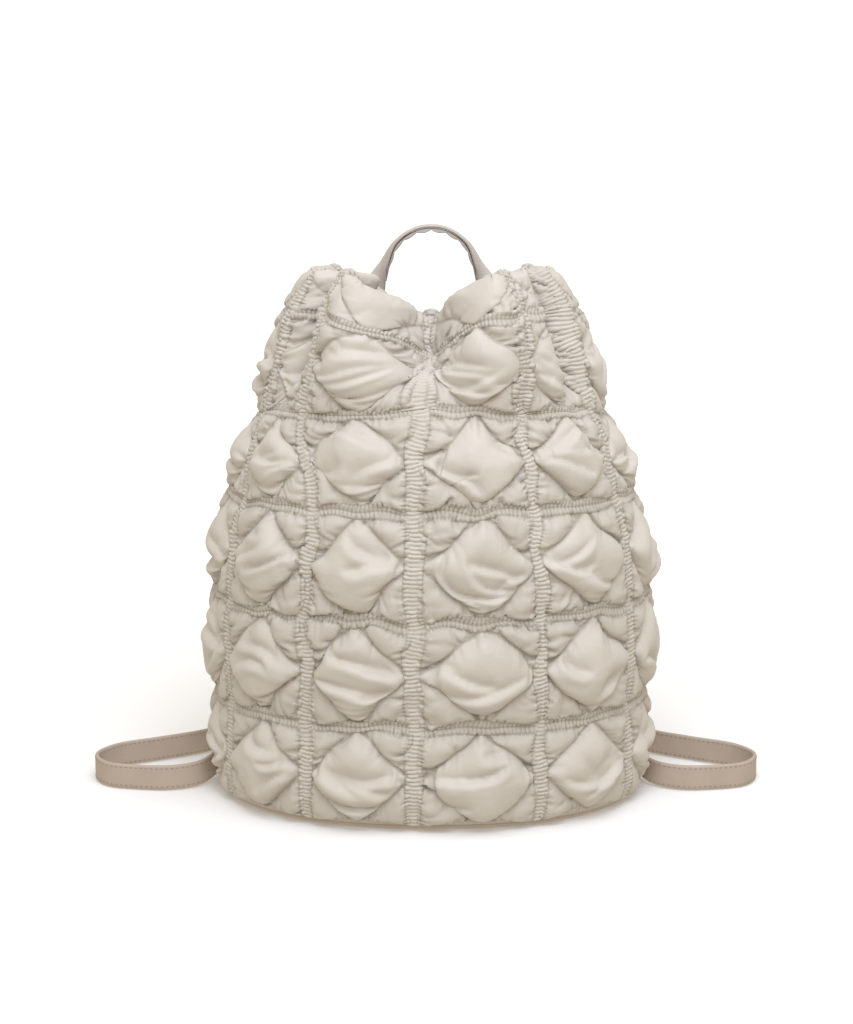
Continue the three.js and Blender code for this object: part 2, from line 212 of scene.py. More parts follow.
@dataclass(frozen=True)
class WallShape:
    """The quilted wall at its stitched level, before any padding."""

    seams: tuple[Seam, ...] = (
        Seam(-3.5, -3, 1), Seam(26.5, 27, 32), Seam(61.5, 65, 68), Seam(94, 96, 96), Seam(124, 124, 124),
        Seam(152, 152, 152), Seam(180, 180, 180), Seam(208, 208, 208), Seam(236, 236, 236),
        Seam(265.5, 263, 263), Seam(295.5, 289, 289), Seam(328, 315, 317), Seam(356.5, 357, 361),
    )
    sections: tuple[Section, ...] = (
        Section(0.0, 5.4, 131.5, 97.5, 0, 0),
        Section(0.25, 18, 134.5, 101.5, 1, 0),
        Section(0.5, 34, 135, 104, 2, 0),
        Section(1.0, 65, 135, 105.5, 4, 0),
        Section(1.5, 98.5, 136, 107, 4, 0),
        Section(2.0, 132, 135.5, 107, 4, 0),
        Section(2.5, 163, 132, 105, 6, 0),
        Section(3.0, 194, 125, 100.5, 9, 0),
        Section(3.5, 219, 116, 93, 13, 0),
        Section(4.0, 243, 106, 84, 17, 0.04),
        Section(4.5, 274, 98, 80, 14, 0.52),
        Section(5.0, 308, 89, 71, 10, 0.85),
        Section(5.5, 331, 75, 59, 9, 1),
    )
    folds: tuple[Fold, ...] = (
        Fold(0, 40, 24, 0.24, 25, 0.15),
        Fold(0, 16, 12, 0.16, 10, 0.4),
        Fold(22, 16, 16, -0.22, 0, 0),
        Fold(-26, 18, 18, -0.25, 0, 0),
        Fold(55, 9, 14, 0.4, 5, 0.9),
        Fold(-56, 13, 10, 0.4, 5, 0.9),
        Fold(180, 62, 62, 0.2, 31, 0),
    )
    pressed: tuple[PressedZone, ...] = tuple(
        zone
        for side in (-1, 1)
        for zone in (
            PressedZone(COLUMNS / 2 + side * 1.1, half_columns=0.24, from_row=4, to_row=6.5),
            PressedZone(COLUMNS / 2 + side * 0.4, half_columns=0.26, from_row=3.3, to_row=4),
            PressedZone(side * 3.15, half_columns=0.6, from_row=0, to_row=0.4),
        )
    )
    squareness: float = 2.2
    back_tilt: float = 0.4
    dip_rows: Span = (4.1, 5.2)
    squeeze_gather: Span = (0.0, 0.6)
    backing: float = 3.0
    pressed_level: float = 1.0
    seat_gap: float = 0.45
    normal_step: float = 0.04
    rim_radius: float = 3.0
    rim_row_height: float = 60.0

    def along_sections(self, row: Array, name: str) -> Array:
        """Value of one column of the sections at quilt rows, on a smooth curve through them.

        Args:
            row: Quilt rows.
            name: Field of the sections.

        Returns:
            Its values at those rows.
        """
        rows = np.array([section.row for section in self.sections])
        values = np.array([getattr(section, name) for section in self.sections], float)
        last = len(rows) - 1
        before = np.maximum(np.arange(last + 1) - 1, 0)
        after = np.minimum(np.arange(last + 1) + 1, last)
        slopes = (values[after] - values[before]) / (rows[after] - rows[before])
        i = np.clip(np.searchsorted(rows, row, side="right") - 1, 0, last - 1)
        span = rows[i + 1] - rows[i]
        s = (row - rows[i]) / span
        s2, s3 = s * s, s * s * s
        return (
            (2 * s3 - 3 * s2 + 1) * values[i]
            + (s3 - 2 * s2 + s) * span * slopes[i]
            + (3 * s2 - 2 * s3) * values[i + 1]
            + (s3 - s2) * span * slopes[i + 1]
        )

    def angle(self, column: Array, row: Array) -> Array:
        """Degrees round the bag of quilt columns, which shift from the body over the neck to the rim.

        Args:
            column: Quilt columns.
            row: Quilt rows, of a shape that goes with column.

        Returns:
            Degrees from the front, growing towards the right.
        """
        turned = (column + COLUMNS) % COLUMNS
        low = np.floor(turned).astype(int)
        to_neck = smoothstep(row, BODY_ROWS - 1, BODY_ROWS)
        to_rim = smoothstep(row, BODY_ROWS, RIM_ROW)
        body, neck, rim = (np.array([getattr(seam, name) for seam in self.seams], float)
                           for name in ("body", "neck", "rim"))
        at_low, at_high = (
            body[seam] + (neck[seam] - body[seam]) * to_neck + (rim[seam] - neck[seam]) * to_rim
            for seam in (low, low + 1)
        )
        return at_low + (at_high - at_low) * (turned - low)

    def fold_share(self, fold: Fold, angle: Array) -> Array:
        """How strongly a fold acts at an angle, from 0 outside it to 1 at its crease.

        Args:
            fold: The fold.
            angle: Degrees round the bag.

        Returns:
            Shares from 0 to 1.
        """
        away = (angle - fold.angle + 540) % 360 - 180
        share = np.where(away < 0, -away / fold.before, away / fold.after)
        return np.where(share < 1, np.cos(np.minimum(share, 1) * math.pi / 2) ** 2, 0.0)

    def stitched(self, column: Array, row: Array) -> Array:
        """Points of the wall at its stitched level, as an array of 3 by the shape of column and row.

        Args:
            column: Quilt columns.
            row: Quilt rows, of a shape that goes with column.

        Returns:
            Millimetres, the three axes first.
        """
        column, row = np.broadcast_arrays(np.asarray(column, float), np.asarray(row, float))
        angle = self.angle(column, row)
        acting = [self.fold_share(fold, angle) for fold in self.folds]
        drawn_in = sum(fold.depth * act for fold, act in zip(self.folds, acting))
        dip = sum(fold.dip * act for fold, act in zip(self.folds, acting))
        radius = 1 - self.along_sections(row, "gather") * drawn_in
        across, along = np.sin(np.radians(angle)), -np.cos(np.radians(angle))
        tilt = np.where(along < 0, -along, -along * self.back_tilt)
        raised = self.along_sections(row, "front_rise") * tilt - dip * smoothstep(row, *self.dip_rows)
        power = 2 / self.squareness
        return np.stack((
            self.along_sections(row, "half_width") * np.sign(across) * np.abs(across) ** power * radius,
            self.along_sections(row, "half_depth") * np.sign(along) * np.abs(along) ** power * radius,
            self.along_sections(row, "height") + raised,
        ))

    def normal(self, column: Array, row: Array) -> Array:
        """Outward directions of the wall at its stitched level.

        Args:
            column: Quilt columns.
            row: Quilt rows, of a shape that goes with column.

        Returns:
            Unit vectors, the three axes first.
        """
        step = self.normal_step
        around = self.stitched(column + step, row) - self.stitched(column - step, row)
        high, low = np.minimum(row + step, RIM_ROW), np.maximum(row - step, 0.0)
        upwards = self.stitched(column, high) - self.stitched(column, low)
        return unit(np.cross(around, upwards, axis=0))

    def rolled(self, column: Array, row: Array) -> Array:
        """Points of the stitched level that also turn over the rim and run down inside it.

        Args:
            column: Quilt columns.
            row: Quilt rows, of a shape that goes with column.

        Returns:
            Millimetres, the three axes first.
        """
        column, row = np.broadcast_arrays(np.asarray(column, float), np.asarray(row, float))
        radius = self.rim_radius
        beyond = np.maximum(row - RIM_ROW, 0.0) * self.rim_row_height
        half_turn = math.pi * radius
        down = np.maximum(beyond - half_turn, 0.0) / self.rim_row_height
        turn = np.minimum(beyond, half_turn) / radius
        place = np.minimum(row, RIM_ROW) - down
        outward = self.normal(column, place)
        upwards = unit(self.stitched(column, place) - self.stitched(column, place - self.normal_step))
        around_rim = outward * (radius * (np.cos(turn) - 1)) + upwards * (radius * np.sin(turn))
        return self.stitched(column, place) + np.where(beyond > 0, around_rim, 0.0)

    def padding_left(self, column: Array, row: Array) -> Array:
        """Share of the padding left beside sewn pieces and inside folds, from 0 to 1.

        Args:
            column: Quilt columns.
            row: Quilt rows, of a shape that goes with column.

        Returns:
            Shares, 0 where the padding is pressed flat.
        """
        column, row = np.broadcast_arrays(np.asarray(column, float), np.asarray(row, float))
        angle = self.angle(column, row)
        squeezed = np.max([fold.squeeze * self.fold_share(fold, angle) for fold in self.folds], axis=0)
        gather = self.along_sections(np.minimum(row, RIM_ROW), "gather")
        left = 1 - squeezed * smoothstep(gather, *self.squeeze_gather)
        half = COLUMNS / 2
        for zone in self.pressed:
            away = np.abs((column - zone.column + COLUMNS + half) % COLUMNS - half)
            is_inside = (away < zone.half_columns) & (row > zone.from_row) & (row < zone.to_row)
            left = np.where(is_inside, 0.0, left)
        return left

    def seat(self, column: float, row: float, offset: float, facing: int) -> tuple[Array, Array]:
        """Place of a leather strip sewn on to the wall.

        Args:
            column: Quilt column.
            row: Quilt row.
            offset: Half the strip's thickness.
            facing: 1 where the strip's outer side looks away from the bag, -1 where it looks inwards.

        Returns:
            The strip's middle and the way its outer side looks.
        """
        spot = np.array(column, float), np.array(row, float)
        normal = self.normal(*spot)
        point = self.stitched(*spot) + normal * (self.pressed_level + self.seat_gap + offset)
        return point, normal * facing


@dataclass(frozen=True)
class CreaseStyle:
    """Creases in a diamond's padding, which mostly run in from its side corners; lengths in half cells."""

    counts: tuple[tuple[int, int], ...] = ((3, 5), (3, 6), (3, 6), (3, 6), (4, 6), (0, 0))
    depth: float = 5.4
    depths: Span = (0.5, 1.1)
    deepest: float = 4.5
    width: float = 0.048
    widths: Span = (0.8, 1.5)
    starts: Span = (0.45, 0.95)
    start_rise: float = 0.35
    turn: float = 0.6
    lengths: Span = (0.6, 1.5)
    bow: float = 0.2
    slope_above: float = 2.0
    slope_below: float = 0.8
    lip: float = 0.4
    lip_place: float = 2.2
    lip_width: float = 1.4
    tapering: float = 0.8
    corners: Span = (0.2, 0.55)

    def of_cell(self, level: int, x: Array, y: Array, rng: Random) -> Iterator[Array]:
        """Depths of the creases over one cell.

        Args:
            level: Row of the cell.
            x: Places across the cell, from -1 to 1.
            y: Places up the cell, from -1 to 1.
            rng: Seeded source of the creases.

        Returns:
            The depths of one crease after another.
        """
        off_corners = smoothstep(1 - np.abs(y), *self.corners)
        fewest, most = self.counts[level]
        for _ in range(rng.integers(fewest, most + 1)):
            yield self._one(x, y, rng) * off_corners

    def _one(self, x: Array, y: Array, rng: Random) -> Array:
        """Depth of one crease: a long slope above it, a short one and a raised lip below.

        Args:
            x: Places across the cell, from -1 to 1.
            y: Places up the cell, from -1 to 1.
            rng: Seeded source of the crease.

        Returns:
            Millimetres over the cell.
        """
        side = rng.choice((-1.0, 1.0))
        start = side * rng.uniform(*self.starts), rng.uniform(-self.start_rise, self.start_rise)
        turn = rng.uniform(-self.turn, self.turn)
        length, bow = rng.uniform(*self.lengths), rng.uniform(-self.bow, self.bow)
        width, deep = self.width * rng.uniform(*self.widths), self.depth * rng.uniform(*self.depths)
        share, above = line_over_cell(x, y, start, turn + (math.pi if side > 0 else 0.0), length)
        above = above - bow * share * (1 - share) * 4
        slope = np.where(above > 0, above / (self.slope_above * width), -above / (self.slope_below * width))
        lip = np.exp(-(((above + self.lip_place * width) / (self.lip_width * width)) ** 2))
        return deep * (np.exp(-slope) - self.lip * lip) * np.sin(math.pi * share) ** self.tapering


@dataclass(frozen=True)
class PuckerStyle:
    """Short puckers that run in from the stitched lines of a cell; lengths in half cells."""

    at_edges: int = 12
    at_bands: int = 32
    depth: float = 3.2
    depths: Span = (0.4, 1.0)
    width: float = 0.035
    widths: Span = (0.7, 1.4)
    lengths: Span = (0.15, 0.5)
    deepening: float = 6
    edge_shares: Span = (0.1, 0.9)
    edge_turn: float = 0.5
    outward_chance: float = 0.3
    band_reach: float = 0.85
    band_turn: float = 0.25
    upright_chance: float = 0.5
    upright_edge: float = 0.88
    cross_edge: float = 0.9

    def of_cell(self, x: Array, y: Array, rng: Random) -> Iterator[Array]:
        """Depths of the puckers round one cell's diamond and triangles.

        Args:
            x: Places across the cell, from -1 to 1.
            y: Places up the cell, from -1 to 1.
            rng: Seeded source of the puckers.

        Returns:
            The depths of one pucker after another.
        """
        for _ in range(self.at_edges):
            across, up = rng.choice((-1.0, 1.0), 2)
            share = rng.uniform(*self.edge_shares)
            inwards = math.atan2(-up, -across) + rng.uniform(-self.edge_turn, self.edge_turn)
            heading = inwards + (math.pi if rng.uniform() < self.outward_chance else 0.0)
            yield self._one(x, y, (across * share, up * (1 - share)), heading, rng)
        for _ in range(self.at_bands):
            side, along = rng.choice((-1.0, 1.0)), rng.uniform(-self.band_reach, self.band_reach)
            inwards = rng.uniform(-self.band_turn, self.band_turn) + (math.pi if side > 0 else 0.0)
            if rng.uniform() < self.upright_chance:
                yield self._one(x, y, (side * self.upright_edge, along), inwards, rng)
            else:
                yield self._one(x, y, (along, side * self.cross_edge), inwards + math.pi / 2, rng)

    def _one(self, x: Array, y: Array, start: Span, heading: float, rng: Random) -> Array:
        """Depth of one pucker over a cell, deepest close to its start.

        Args:
            x: Places across the cell, from -1 to 1.
            y: Places up the cell, from -1 to 1.
            start: Where it starts.
            heading: Its direction in radians.
            rng: Seeded source of its size.

        Returns:
            Millimetres over the cell.
        """
        length, width = rng.uniform(*self.lengths), self.width * rng.uniform(*self.widths)
        share, above = line_over_cell(x, y, start, heading, length)
        fading = np.minimum(share * self.deepening, 1) * (1 - share)
        return self.depth * rng.uniform(*self.depths) * np.exp(-np.abs(above) / width) * fading


@dataclass
class QuiltCloth:
    """Cloth of the whole quilt, held along bands and diamond edges and swollen between them.

    It is a grid of points with the same number of steps across and up each quilt cell. Threads between
    neighbours keep their cut lengths, which are longer than the stitched places allow, so that the
    cloth puffs out and puckers.
    """

    wall: WallShape
    creases: CreaseStyle = CreaseStyle()
    puckers: PuckerStyle = PuckerStyle()
    coarse_steps: int = 28
    coarse_rounds: int = 320
    fine_rounds: int = 150
    still_rounds: tuple[int, int] = (4, 2)
    normals_every: int = 3
    filling_share: float = 0.4
    seed: int = 11
    fullness_across: float = 0.16
    fullness_up: float = 0.2
    fullness_spread: float = 0.3
    fullness_waves: float = 0.7
    fullness_range: Span = (0.4, 1.6)
    band_gathers: float = 0.08
    band_reach: float = 0.14
    diamond_heights: tuple[float, ...] = (9.2, 9.6, 9.6, 9.2, 8.2, 4)
    row_bulges: tuple[float, ...] = (1.6, 2, 2, 2, 1.6, 0)
    triangle_heights: tuple[float, ...] = (3.8, 3.8, 3.8, 3.8, 4, 3)
    triangle_crest: float = 27.0
    triangle_push: float = 0.6
    height_spread: float = 0.12
    height_waves: float = 0.8
    crease_onset: Span = (0.0, 0.25)
    pressed_in: float = 0.6
    pressed_below: float = 0.02
    crinkle: float = 0.1
    crinkle_waves: float = 7.0
    band_levels: tuple[float, ...] = (4.0, 1.2, 1.0, 1.2, 1.6, 1.8, 1.0)
    groove_rise: float = -0.4
    start_heights: Span = (3.0, 1.2)
    start_spread: Span = (0.6, 0.4)
    start_waves: float = 2.5
    start_least: float = 0.3
    pressure: float = 0.05
    settling: float = 0.15
    weight: float = 0.005
    damping: float = 0.86
    stiffness: float = 0.9
    shear: float = 0.12
    bending: float = 0.06
    smoothing: float = 0.006
    lowest: float = 0.6
    yielding: float = 0.5
    wander: float = 0.024
    wander_waves: float = 2.2
    midpoint_weights: Span = (0.5625, 0.0625)
    last_step: float = 1.001
    steps: int = field(init=False, default=0)
    points: Array = field(init=False)
    base: Array = field(init=False)
    out: Array = field(init=False)
    free: Array = field(init=False)
    held: Array = field(init=False)
    limit: Array = field(init=False)
    dented: Array = field(init=False)
    push: Array = field(init=False)
    cut_across: Array = field(init=False)
    cut_up: Array = field(init=False)
    cut_diagonal: Array = field(init=False)

    def make(self, still: bool) -> None:
        """Args:
            still: Whether to leave the simulation out.
        """
        coarse_rounds, fine_rounds = self.still_rounds if still else (self.coarse_rounds, self.fine_rounds)
        self._lay(self.coarse_steps)
        self._swell(coarse_rounds)
        coarse = self.points
        self._lay(self.coarse_steps * 2)
        self.points = self._twice_as_fine(coarse)
        self.points += (1 - self.free) * (self.held - self.points)
        self._swell(fine_rounds)
        self.points -= self.out * self.dented

    def _lay(self, steps: int) -> None:
        """Lays the cloth on the wall with a number of steps to a quilt cell, and works out its cut.

        Args:
            steps: Steps across and up a cell.
        """
        rng = np.random.default_rng(self.seed)
        self.steps = steps
        column = np.arange(COLUMNS * steps)[None, :] / steps
        row = np.arange(HEM_ROW * steps + 1)[:, None] / steps
        inside = np.minimum(row, 1.0) * np.minimum(HEM_ROW - row, 1.0)
        wander_across = self.wander * inside * wave_field(column, row, rng, self.wander_waves)
        wander_up = self.wander * inside * wave_field(column, row, rng, self.wander_waves)
        fullness = 1 + self.fullness_spread * wave_field(column, row, rng, self.fullness_waves)
        self.base = self.wall.rolled(column + wander_across, row + wander_up).astype(np.float32)
        self.out = grid_normals(self.base)
        left = self.wall.padding_left(column, row)
        half, band = steps // 2, steps // self.coarse_steps
        from_upright, from_cross = ((to_seam(place) * steps).round() for place in (column, row))
        in_band = (from_upright <= band) | (from_cross <= band)
        on_edge = from_upright + from_cross == half + band
        in_diamond = from_upright + from_cross > half + band
        of_row = np.clip(np.floor(row), 0, HEM_ROW - 1).astype(int)
        bulge = np.array(self.row_bulges)[of_row] * np.sin(math.pi * (row - of_row))
        band_level = np.interp(row, np.arange(HEM_ROW + 1), self.band_levels) + bulge
        off_bands = np.minimum(1.0, 4 * from_upright * from_cross / half**2)
        level = np.where(in_band, band_level, band_level + self.groove_rise * off_bands * left)
        is_pressed = left < self.pressed_below
        level = np.where(is_pressed, np.minimum(level, self.wall.pressed_level), level)
        self.free = (~(in_band | on_edge | is_pressed)).astype(np.float32)
        self.held = self.base + self.out * level.astype(np.float32)
        p, q = from_upright / half, from_cross / half
        inwards = np.clip((p + q - 1 - band / half) / (1 - band / half), -1, 1)
        diamond = np.array(self.diamond_heights)[of_row] * np.sqrt(1 - (1 - np.maximum(inwards, 0)) ** 2)
        triangle = np.array(self.triangle_heights)[of_row] * self.triangle_crest * p * q
        padding = np.where(in_diamond, diamond, triangle * np.maximum(-inwards, 0))
        varied = 1 + self.height_spread * wave_field(column, row, rng, self.height_waves)
        creased = self._creased(column, row) * smoothstep(inwards, *self.crease_onset)
        self.limit = (level + (padding * varied - creased) * left).astype(np.float32)
        crinkled = self.crinkle * wave_field(column, row, rng, self.crinkle_waves)
        crinkled += self._puckered(column, row)
        self.dented = ((creased * self.pressed_in + crinkled) * left * self.free).astype(np.float32)
        self.push = (self.pressure * left * np.where(in_diamond, 1.0, self.triangle_push)).astype(np.float32)
        share = left * np.clip(fullness, *self.fullness_range)
        self._cut(from_upright, from_cross, share.astype(np.float32))
        base, spread = self.start_spread
        varied = base + spread * wave_field(column, row, rng, self.start_waves)
        rise = np.maximum(np.where(in_diamond, *self.start_heights) * varied, self.start_least)
        start = self.base + self.out * (level + self.free * rise * left).astype(np.float32)
        self.points = start.astype(np.float32)

    def _cut(self, from_upright: Array, from_cross: Array, share: Array) -> None:
        """Works out the cut lengths of the threads.

        Args:
            from_upright: Steps from the nearest upright seam.
            from_cross: Steps from the nearest cross seam.
            share: Share of the cloth's fullness at each point.
        """
        near_upright, near_cross = (
            np.exp(-((away / self.steps / self.band_reach) ** 2)) for away in (from_upright, from_cross)
        )
        spare_across = share * (self.fullness_across + self.band_gathers * near_cross)
        spare_up = share * (self.fullness_up + self.band_gathers * near_upright)
        across = np.roll(self.base, -1, 2) - self.base
        upwards = self.base[:, 1:] - self.base[:, :-1]
        self.cut_across = (np.sqrt((across**2).sum(0)) * (1 + spare_across)).astype(np.float32)
        self.cut_up = (np.sqrt((upwards**2).sum(0)) * (1 + spare_up[:-1])).astype(np.float32)
        self.cut_diagonal = np.sqrt(self.cut_across[:-1] ** 2 + self.cut_up**2)

    def _creased(self, column: Array, row: Array) -> Array:
        """Depth of the creases in the diamonds' padding.

        Args:
            column: Quilt columns.
            row: Quilt rows, of a shape that goes with column.

        Returns:
            Millimetres over the quilt.
        """
        rng = np.random.default_rng(self.seed + 1)
        depth = np.zeros(np.broadcast(column, row).shape)
        for level, place, x, y in self._cells(column, row):
            for crease in self.creases.of_cell(level, x, y, rng):
                depth[place] += crease
        return self.creases.deepest * np.tanh(depth / self.creases.deepest)

    def _puckered(self, column: Array, row: Array) -> Array:
        """Depth of the puckers beside the stitched lines.

        Args:
            column: Quilt columns.
            row: Quilt rows, of a shape that goes with column.

        Returns:
            Millimetres over the quilt.
        """
        rng = np.random.default_rng(self.seed + 2)
        depth = np.zeros(np.broadcast(column, row).shape)
        for _, place, x, y in self._cells(column, row):
            for pucker in self.puckers.of_cell(x, y, rng):
                depth[place] += pucker
        return depth

    def _cells(self, column: Array, row: Array) -> Iterator[tuple[int, tuple[slice, slice], Array, Array]]:
        """Goes over the quilt's cells.

        Args:
            column: Quilt columns of the grid.
            row: Quilt rows of the grid.

        Returns:
            For each cell its row, its place in the grid and its own x and y, from -1 to 1 over the cell.
        """
        for level in range(HEM_ROW):
            for cell in range(COLUMNS):
                rows = slice(level * self.steps, (level + 1) * self.steps + 1)
                columns = slice(cell * self.steps, (cell + 1) * self.steps)
                yield level, (rows, columns), 2 * (column[:, columns] - cell) - 1, 2 * (row[rows] - level) - 1

    def _twice_as_fine(self, coarse: Array) -> Array:
        """Returns a grid of points with a new one half way between each two, on smooth curves.

        Args:
            coarse: Array of 3 by rows by columns.

        Returns:
            The same layout with twice the steps.
        """
        near, far = self.midpoint_weights
        wide = np.empty((3, coarse.shape[1], coarse.shape[2] * 2), np.float32)
        wide[:, :, 0::2] = coarse
        inner = coarse + np.roll(coarse, -1, 2)
        outer = np.roll(coarse, 1, 2) + np.roll(coarse, -2, 2)
        wide[:, :, 1::2] = inner * near - outer * far
        tall = np.empty((3, wide.shape[1] * 2 - 1, wide.shape[2]), np.float32)
        tall[:, 0::2] = wide
        middle = (wide[:, :-1] + wide[:, 1:]) * 0.5
        middle[:, 1:-1] = (wide[:, 1:-2] + wide[:, 2:-1]) * near - (wide[:, :-3] + wide[:, 3:]) * far
        tall[:, 1::2] = middle
        return tall

    def _swell(self, rounds: int) -> None:
        """Runs the cloth for a number of rounds.

        Args:
            rounds: How many.
        """
        points, free, out = self.points, self.free, self.out
        before = points.copy()
        for k in range(rounds):
            speed = (points - before) * self.damping
            before = points.copy()
            points += speed * free
            if k % self.normals_every == 0:
                out = grid_normals(points)
            is_filling = k < rounds * self.filling_share
            points += out * (self.push * free * (1.0 if is_filling else self.settling))
            points[2] -= self.weight * free
            self._pull_threads(points)
            self._pull_diagonals(points)
            self._stiffen(points)
            height = ((points - self.base) * self.out).sum(0)
            kept = np.clip(height, self.lowest, np.maximum(self.limit, self.lowest))
            points += self.out * ((kept - height) * free * self.yielding)
        self.points = points

    @staticmethod
    def _strain(apart: Array, cut: Array) -> Array:
        """How far threads are longer than their cut, in shares of their lengths."""
        return 1 - cut / (np.sqrt((apart * apart).sum(0)) + SHORTEST)

    def _pull(self, a: Array, b: Array, free_a: Array, free_b: Array, cut: Array) -> None:
        """Brings the threads between two sets of points towards their cut lengths, in place.

        Args:
            a: Points at one end.
            b: Points at the other end.
            free_a: 1 where a may move, else 0.
            free_b: 1 where b may move, else 0.
            cut: Lengths of the threads.
        """
        apart = b - a
        apart *= self.stiffness * self._strain(apart, cut) / np.maximum(free_a + free_b, 1.0)
        a += apart * free_a
        b -= apart * free_b

    def _pull_threads(self, points: Array) -> None:
        """Pulls the threads across and up the quilt, every other one at a time.

        Args:
            points: Points of the cloth, moved in place.
        """
        even, odd = slice(0, None, 2), slice(1, None, 2)
        for turn in (0, 1):
            around = np.roll(points, -turn, 2)
            free, cut = np.roll(self.free, -turn, 1), np.roll(self.cut_across, -turn, 1)
            self._pull(around[:, :, even], around[:, :, odd], free[:, even], free[:, odd], cut[:, even])
            points[:] = np.roll(around, turn, 2)
        for first in (0, 1):
            beyond = first + (points.shape[1] - first) // 2 * 2
            low, high = slice(first, beyond, 2), slice(first + 1, beyond + 1, 2)
            self._pull(points[:, low], points[:, high], self.free[low], self.free[high], self.cut_up[low])

    def _pull_diagonals(self, points: Array) -> None:
        """Holds the cloth's weave loosely square, along both diagonals of each mesh.

        Args:
            points: Points of the cloth, moved in place.
        """
        shift = np.zeros_like(points)
        for turn in (-1, 1):
            apart = np.roll(points[:, 1:], turn, 2) - points[:, :-1]
            apart *= self.shear * 0.5 * self._strain(apart, self.cut_diagonal)
            shift[:, :-1] += apart
            shift[:, 1:] -= np.roll(apart, -turn, 2)
        points += shift * self.free

    def _stiffen(self, points: Array) -> None:
        """Opens folds that are sharper than the cloth allows, and calms the finest ripples.

        Args:
            points: Points of the cloth, moved in place.
        """
        shift = np.zeros_like(points)
        apart = np.roll(points, -2, 2) - points
        cut = self.cut_across + np.roll(self.cut_across, -1, 1)
        apart *= self.bending * 0.5 * np.minimum(self._strain(apart, cut), 0.0)
        shift += apart
        shift -= np.roll(apart, 2, 2)
        apart = points[:, 2:] - points[:, :-2]
        cut = self.cut_up[:-1] + self.cut_up[1:]
        apart *= self.bending * 0.5 * np.minimum(self._strain(apart, cut), 0.0)
        shift[:, :-2] += apart
        shift[:, 2:] -= apart
        middle = (np.roll(points, 1, 2) + np.roll(points, -1, 2)) * 0.25
        middle[:, 1:-1] += (points[:, 2:] + points[:, :-2]) * 0.25
        middle[:, 0] += points[:, 0] * 0.5
        middle[:, -1] += points[:, -1] * 0.5
        shift += (middle - points) * self.smoothing
        points += shift * self.free

    def sample(self, column: Array, row: Array) -> Array:
        """Points of the swollen cloth at quilt columns and rows, on smooth curves between its own.

        Args:
            column: Quilt columns of any shape.
            row: Quilt rows of the same shape.

        Returns:
            Array of 3 by that shape.
        """
        rows, columns = self.points.shape[1:]
        x, y = column * self.steps, np.clip(row * self.steps, 0, rows - self.last_step)
        i, j = np.floor(x).astype(int), np.floor(y).astype(int)
        total = np.zeros((3,) + x.shape)
        for dj, up_weight in enumerate(self._curve_weights(y - j)):
            at_row = np.clip(j + dj - 1, 0, rows - 1)
            for di, across_weight in enumerate(self._curve_weights(x - i)):
                total += self.points[:, at_row, (i + di - 1) % columns] * (up_weight * across_weight)
        return total

    @staticmethod
    def _curve_weights(s: Array) -> tuple[Array, Array, Array, Array]:
        """Weights of four points in a line for a smooth curve between the middle two.

        Args:
            s: Share of the way from the second to the third.

        Returns:
            The four weights.
        """
        s2, s3 = s * s, s * s * s
        return (
            (-s3 + 2 * s2 - s) / 2,
            (3 * s3 - 5 * s2 + 2) / 2,
            (-3 * s3 + 4 * s2 + s) / 2,
            (s3 - s2) / 2,
        )


class Mesher:
    """Makes objects from grids of points and dresses them for the frame."""

    @staticmethod
    def from_grid(name: str, points: Array, wraps: tuple[bool, bool], marks: dict[str, Array]) -> Piece:
        """Makes a mesh from a grid of points in millimetres.

        Args:
            name: Name of the object.
            points: Array of rows by columns by 3.
            wraps: Whether the grid closes on itself along its columns and along its rows.
            marks: Named numbers at each point, kept on the mesh for its material.

        Returns:
            The object, at the origin, with any open ends filled.
        """
        grids = (points, *marks.values())
        wide = [np.concatenate((grid, grid[:, :1]), 1) if wraps[0] else grid for grid in grids]
        full = [np.concatenate((grid, grid[:1]), 0) if wraps[1] else grid for grid in wide]
        rows, columns = full[0].shape[:2]
        bm = bmesh.new()
        bmesh.ops.create_grid(bm, x_segments=columns - 1, y_segments=rows - 1, size=1.0)
        for vert, place in zip(bm.verts, (full[0].reshape(-1, 3) * METRE).tolist()):
            vert.co = place
        for mark, values in zip(marks, full[1:]):
            layer = bm.verts.layers.float.new(mark)
            for vert, value in zip(bm.verts, values.ravel().tolist()):
                vert[layer] = value
        rim = [vert for vert in bm.verts if vert.is_boundary]
        bmesh.ops.remove_doubles(bm, verts=rim, dist=MERGE)
        open_edges = [edge for edge in bm.edges if edge.is_boundary]
        if open_edges:
            bmesh.ops.holes_fill(bm, edges=open_edges, sides=0)
        return Mesher.finish(name, bm)

    @staticmethod
    def finish(name: str, bm: bmesh.types.BMesh) -> Piece:
        """Turns a finished bmesh into a smooth shaded object at the origin.

        Args:
            name: Name of the object.
            bm: Its shape, which is freed.

        Returns:
            The object.
        """
        mesh = bpy.data.meshes.new(name)
        for face in bm.faces:
            face.smooth = True
        bm.to_mesh(mesh)
        bm.free()
        made = bpy.data.objects.new(name, mesh)
        bpy.context.scene.collection.objects.link(made)
        return made

    @staticmethod
    def dress(piece: Piece, material: Material, slot: Slot, *nodes: str) -> Piece:
        """Gives a piece its material and its place on the frame.

        Args:
            piece: The object.
            material: Its finish.
            slot: The record's material slot; not used.
            nodes: CAD nodes that the piece stands for.

        Returns:
            The same object.
        """
        piece.data.materials.append(material)
        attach(piece, BODY)
        if nodes:
            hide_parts(*nodes)
        LOG.info("%s: %d faces", piece.name, len(piece.data.polygons))
        return piece


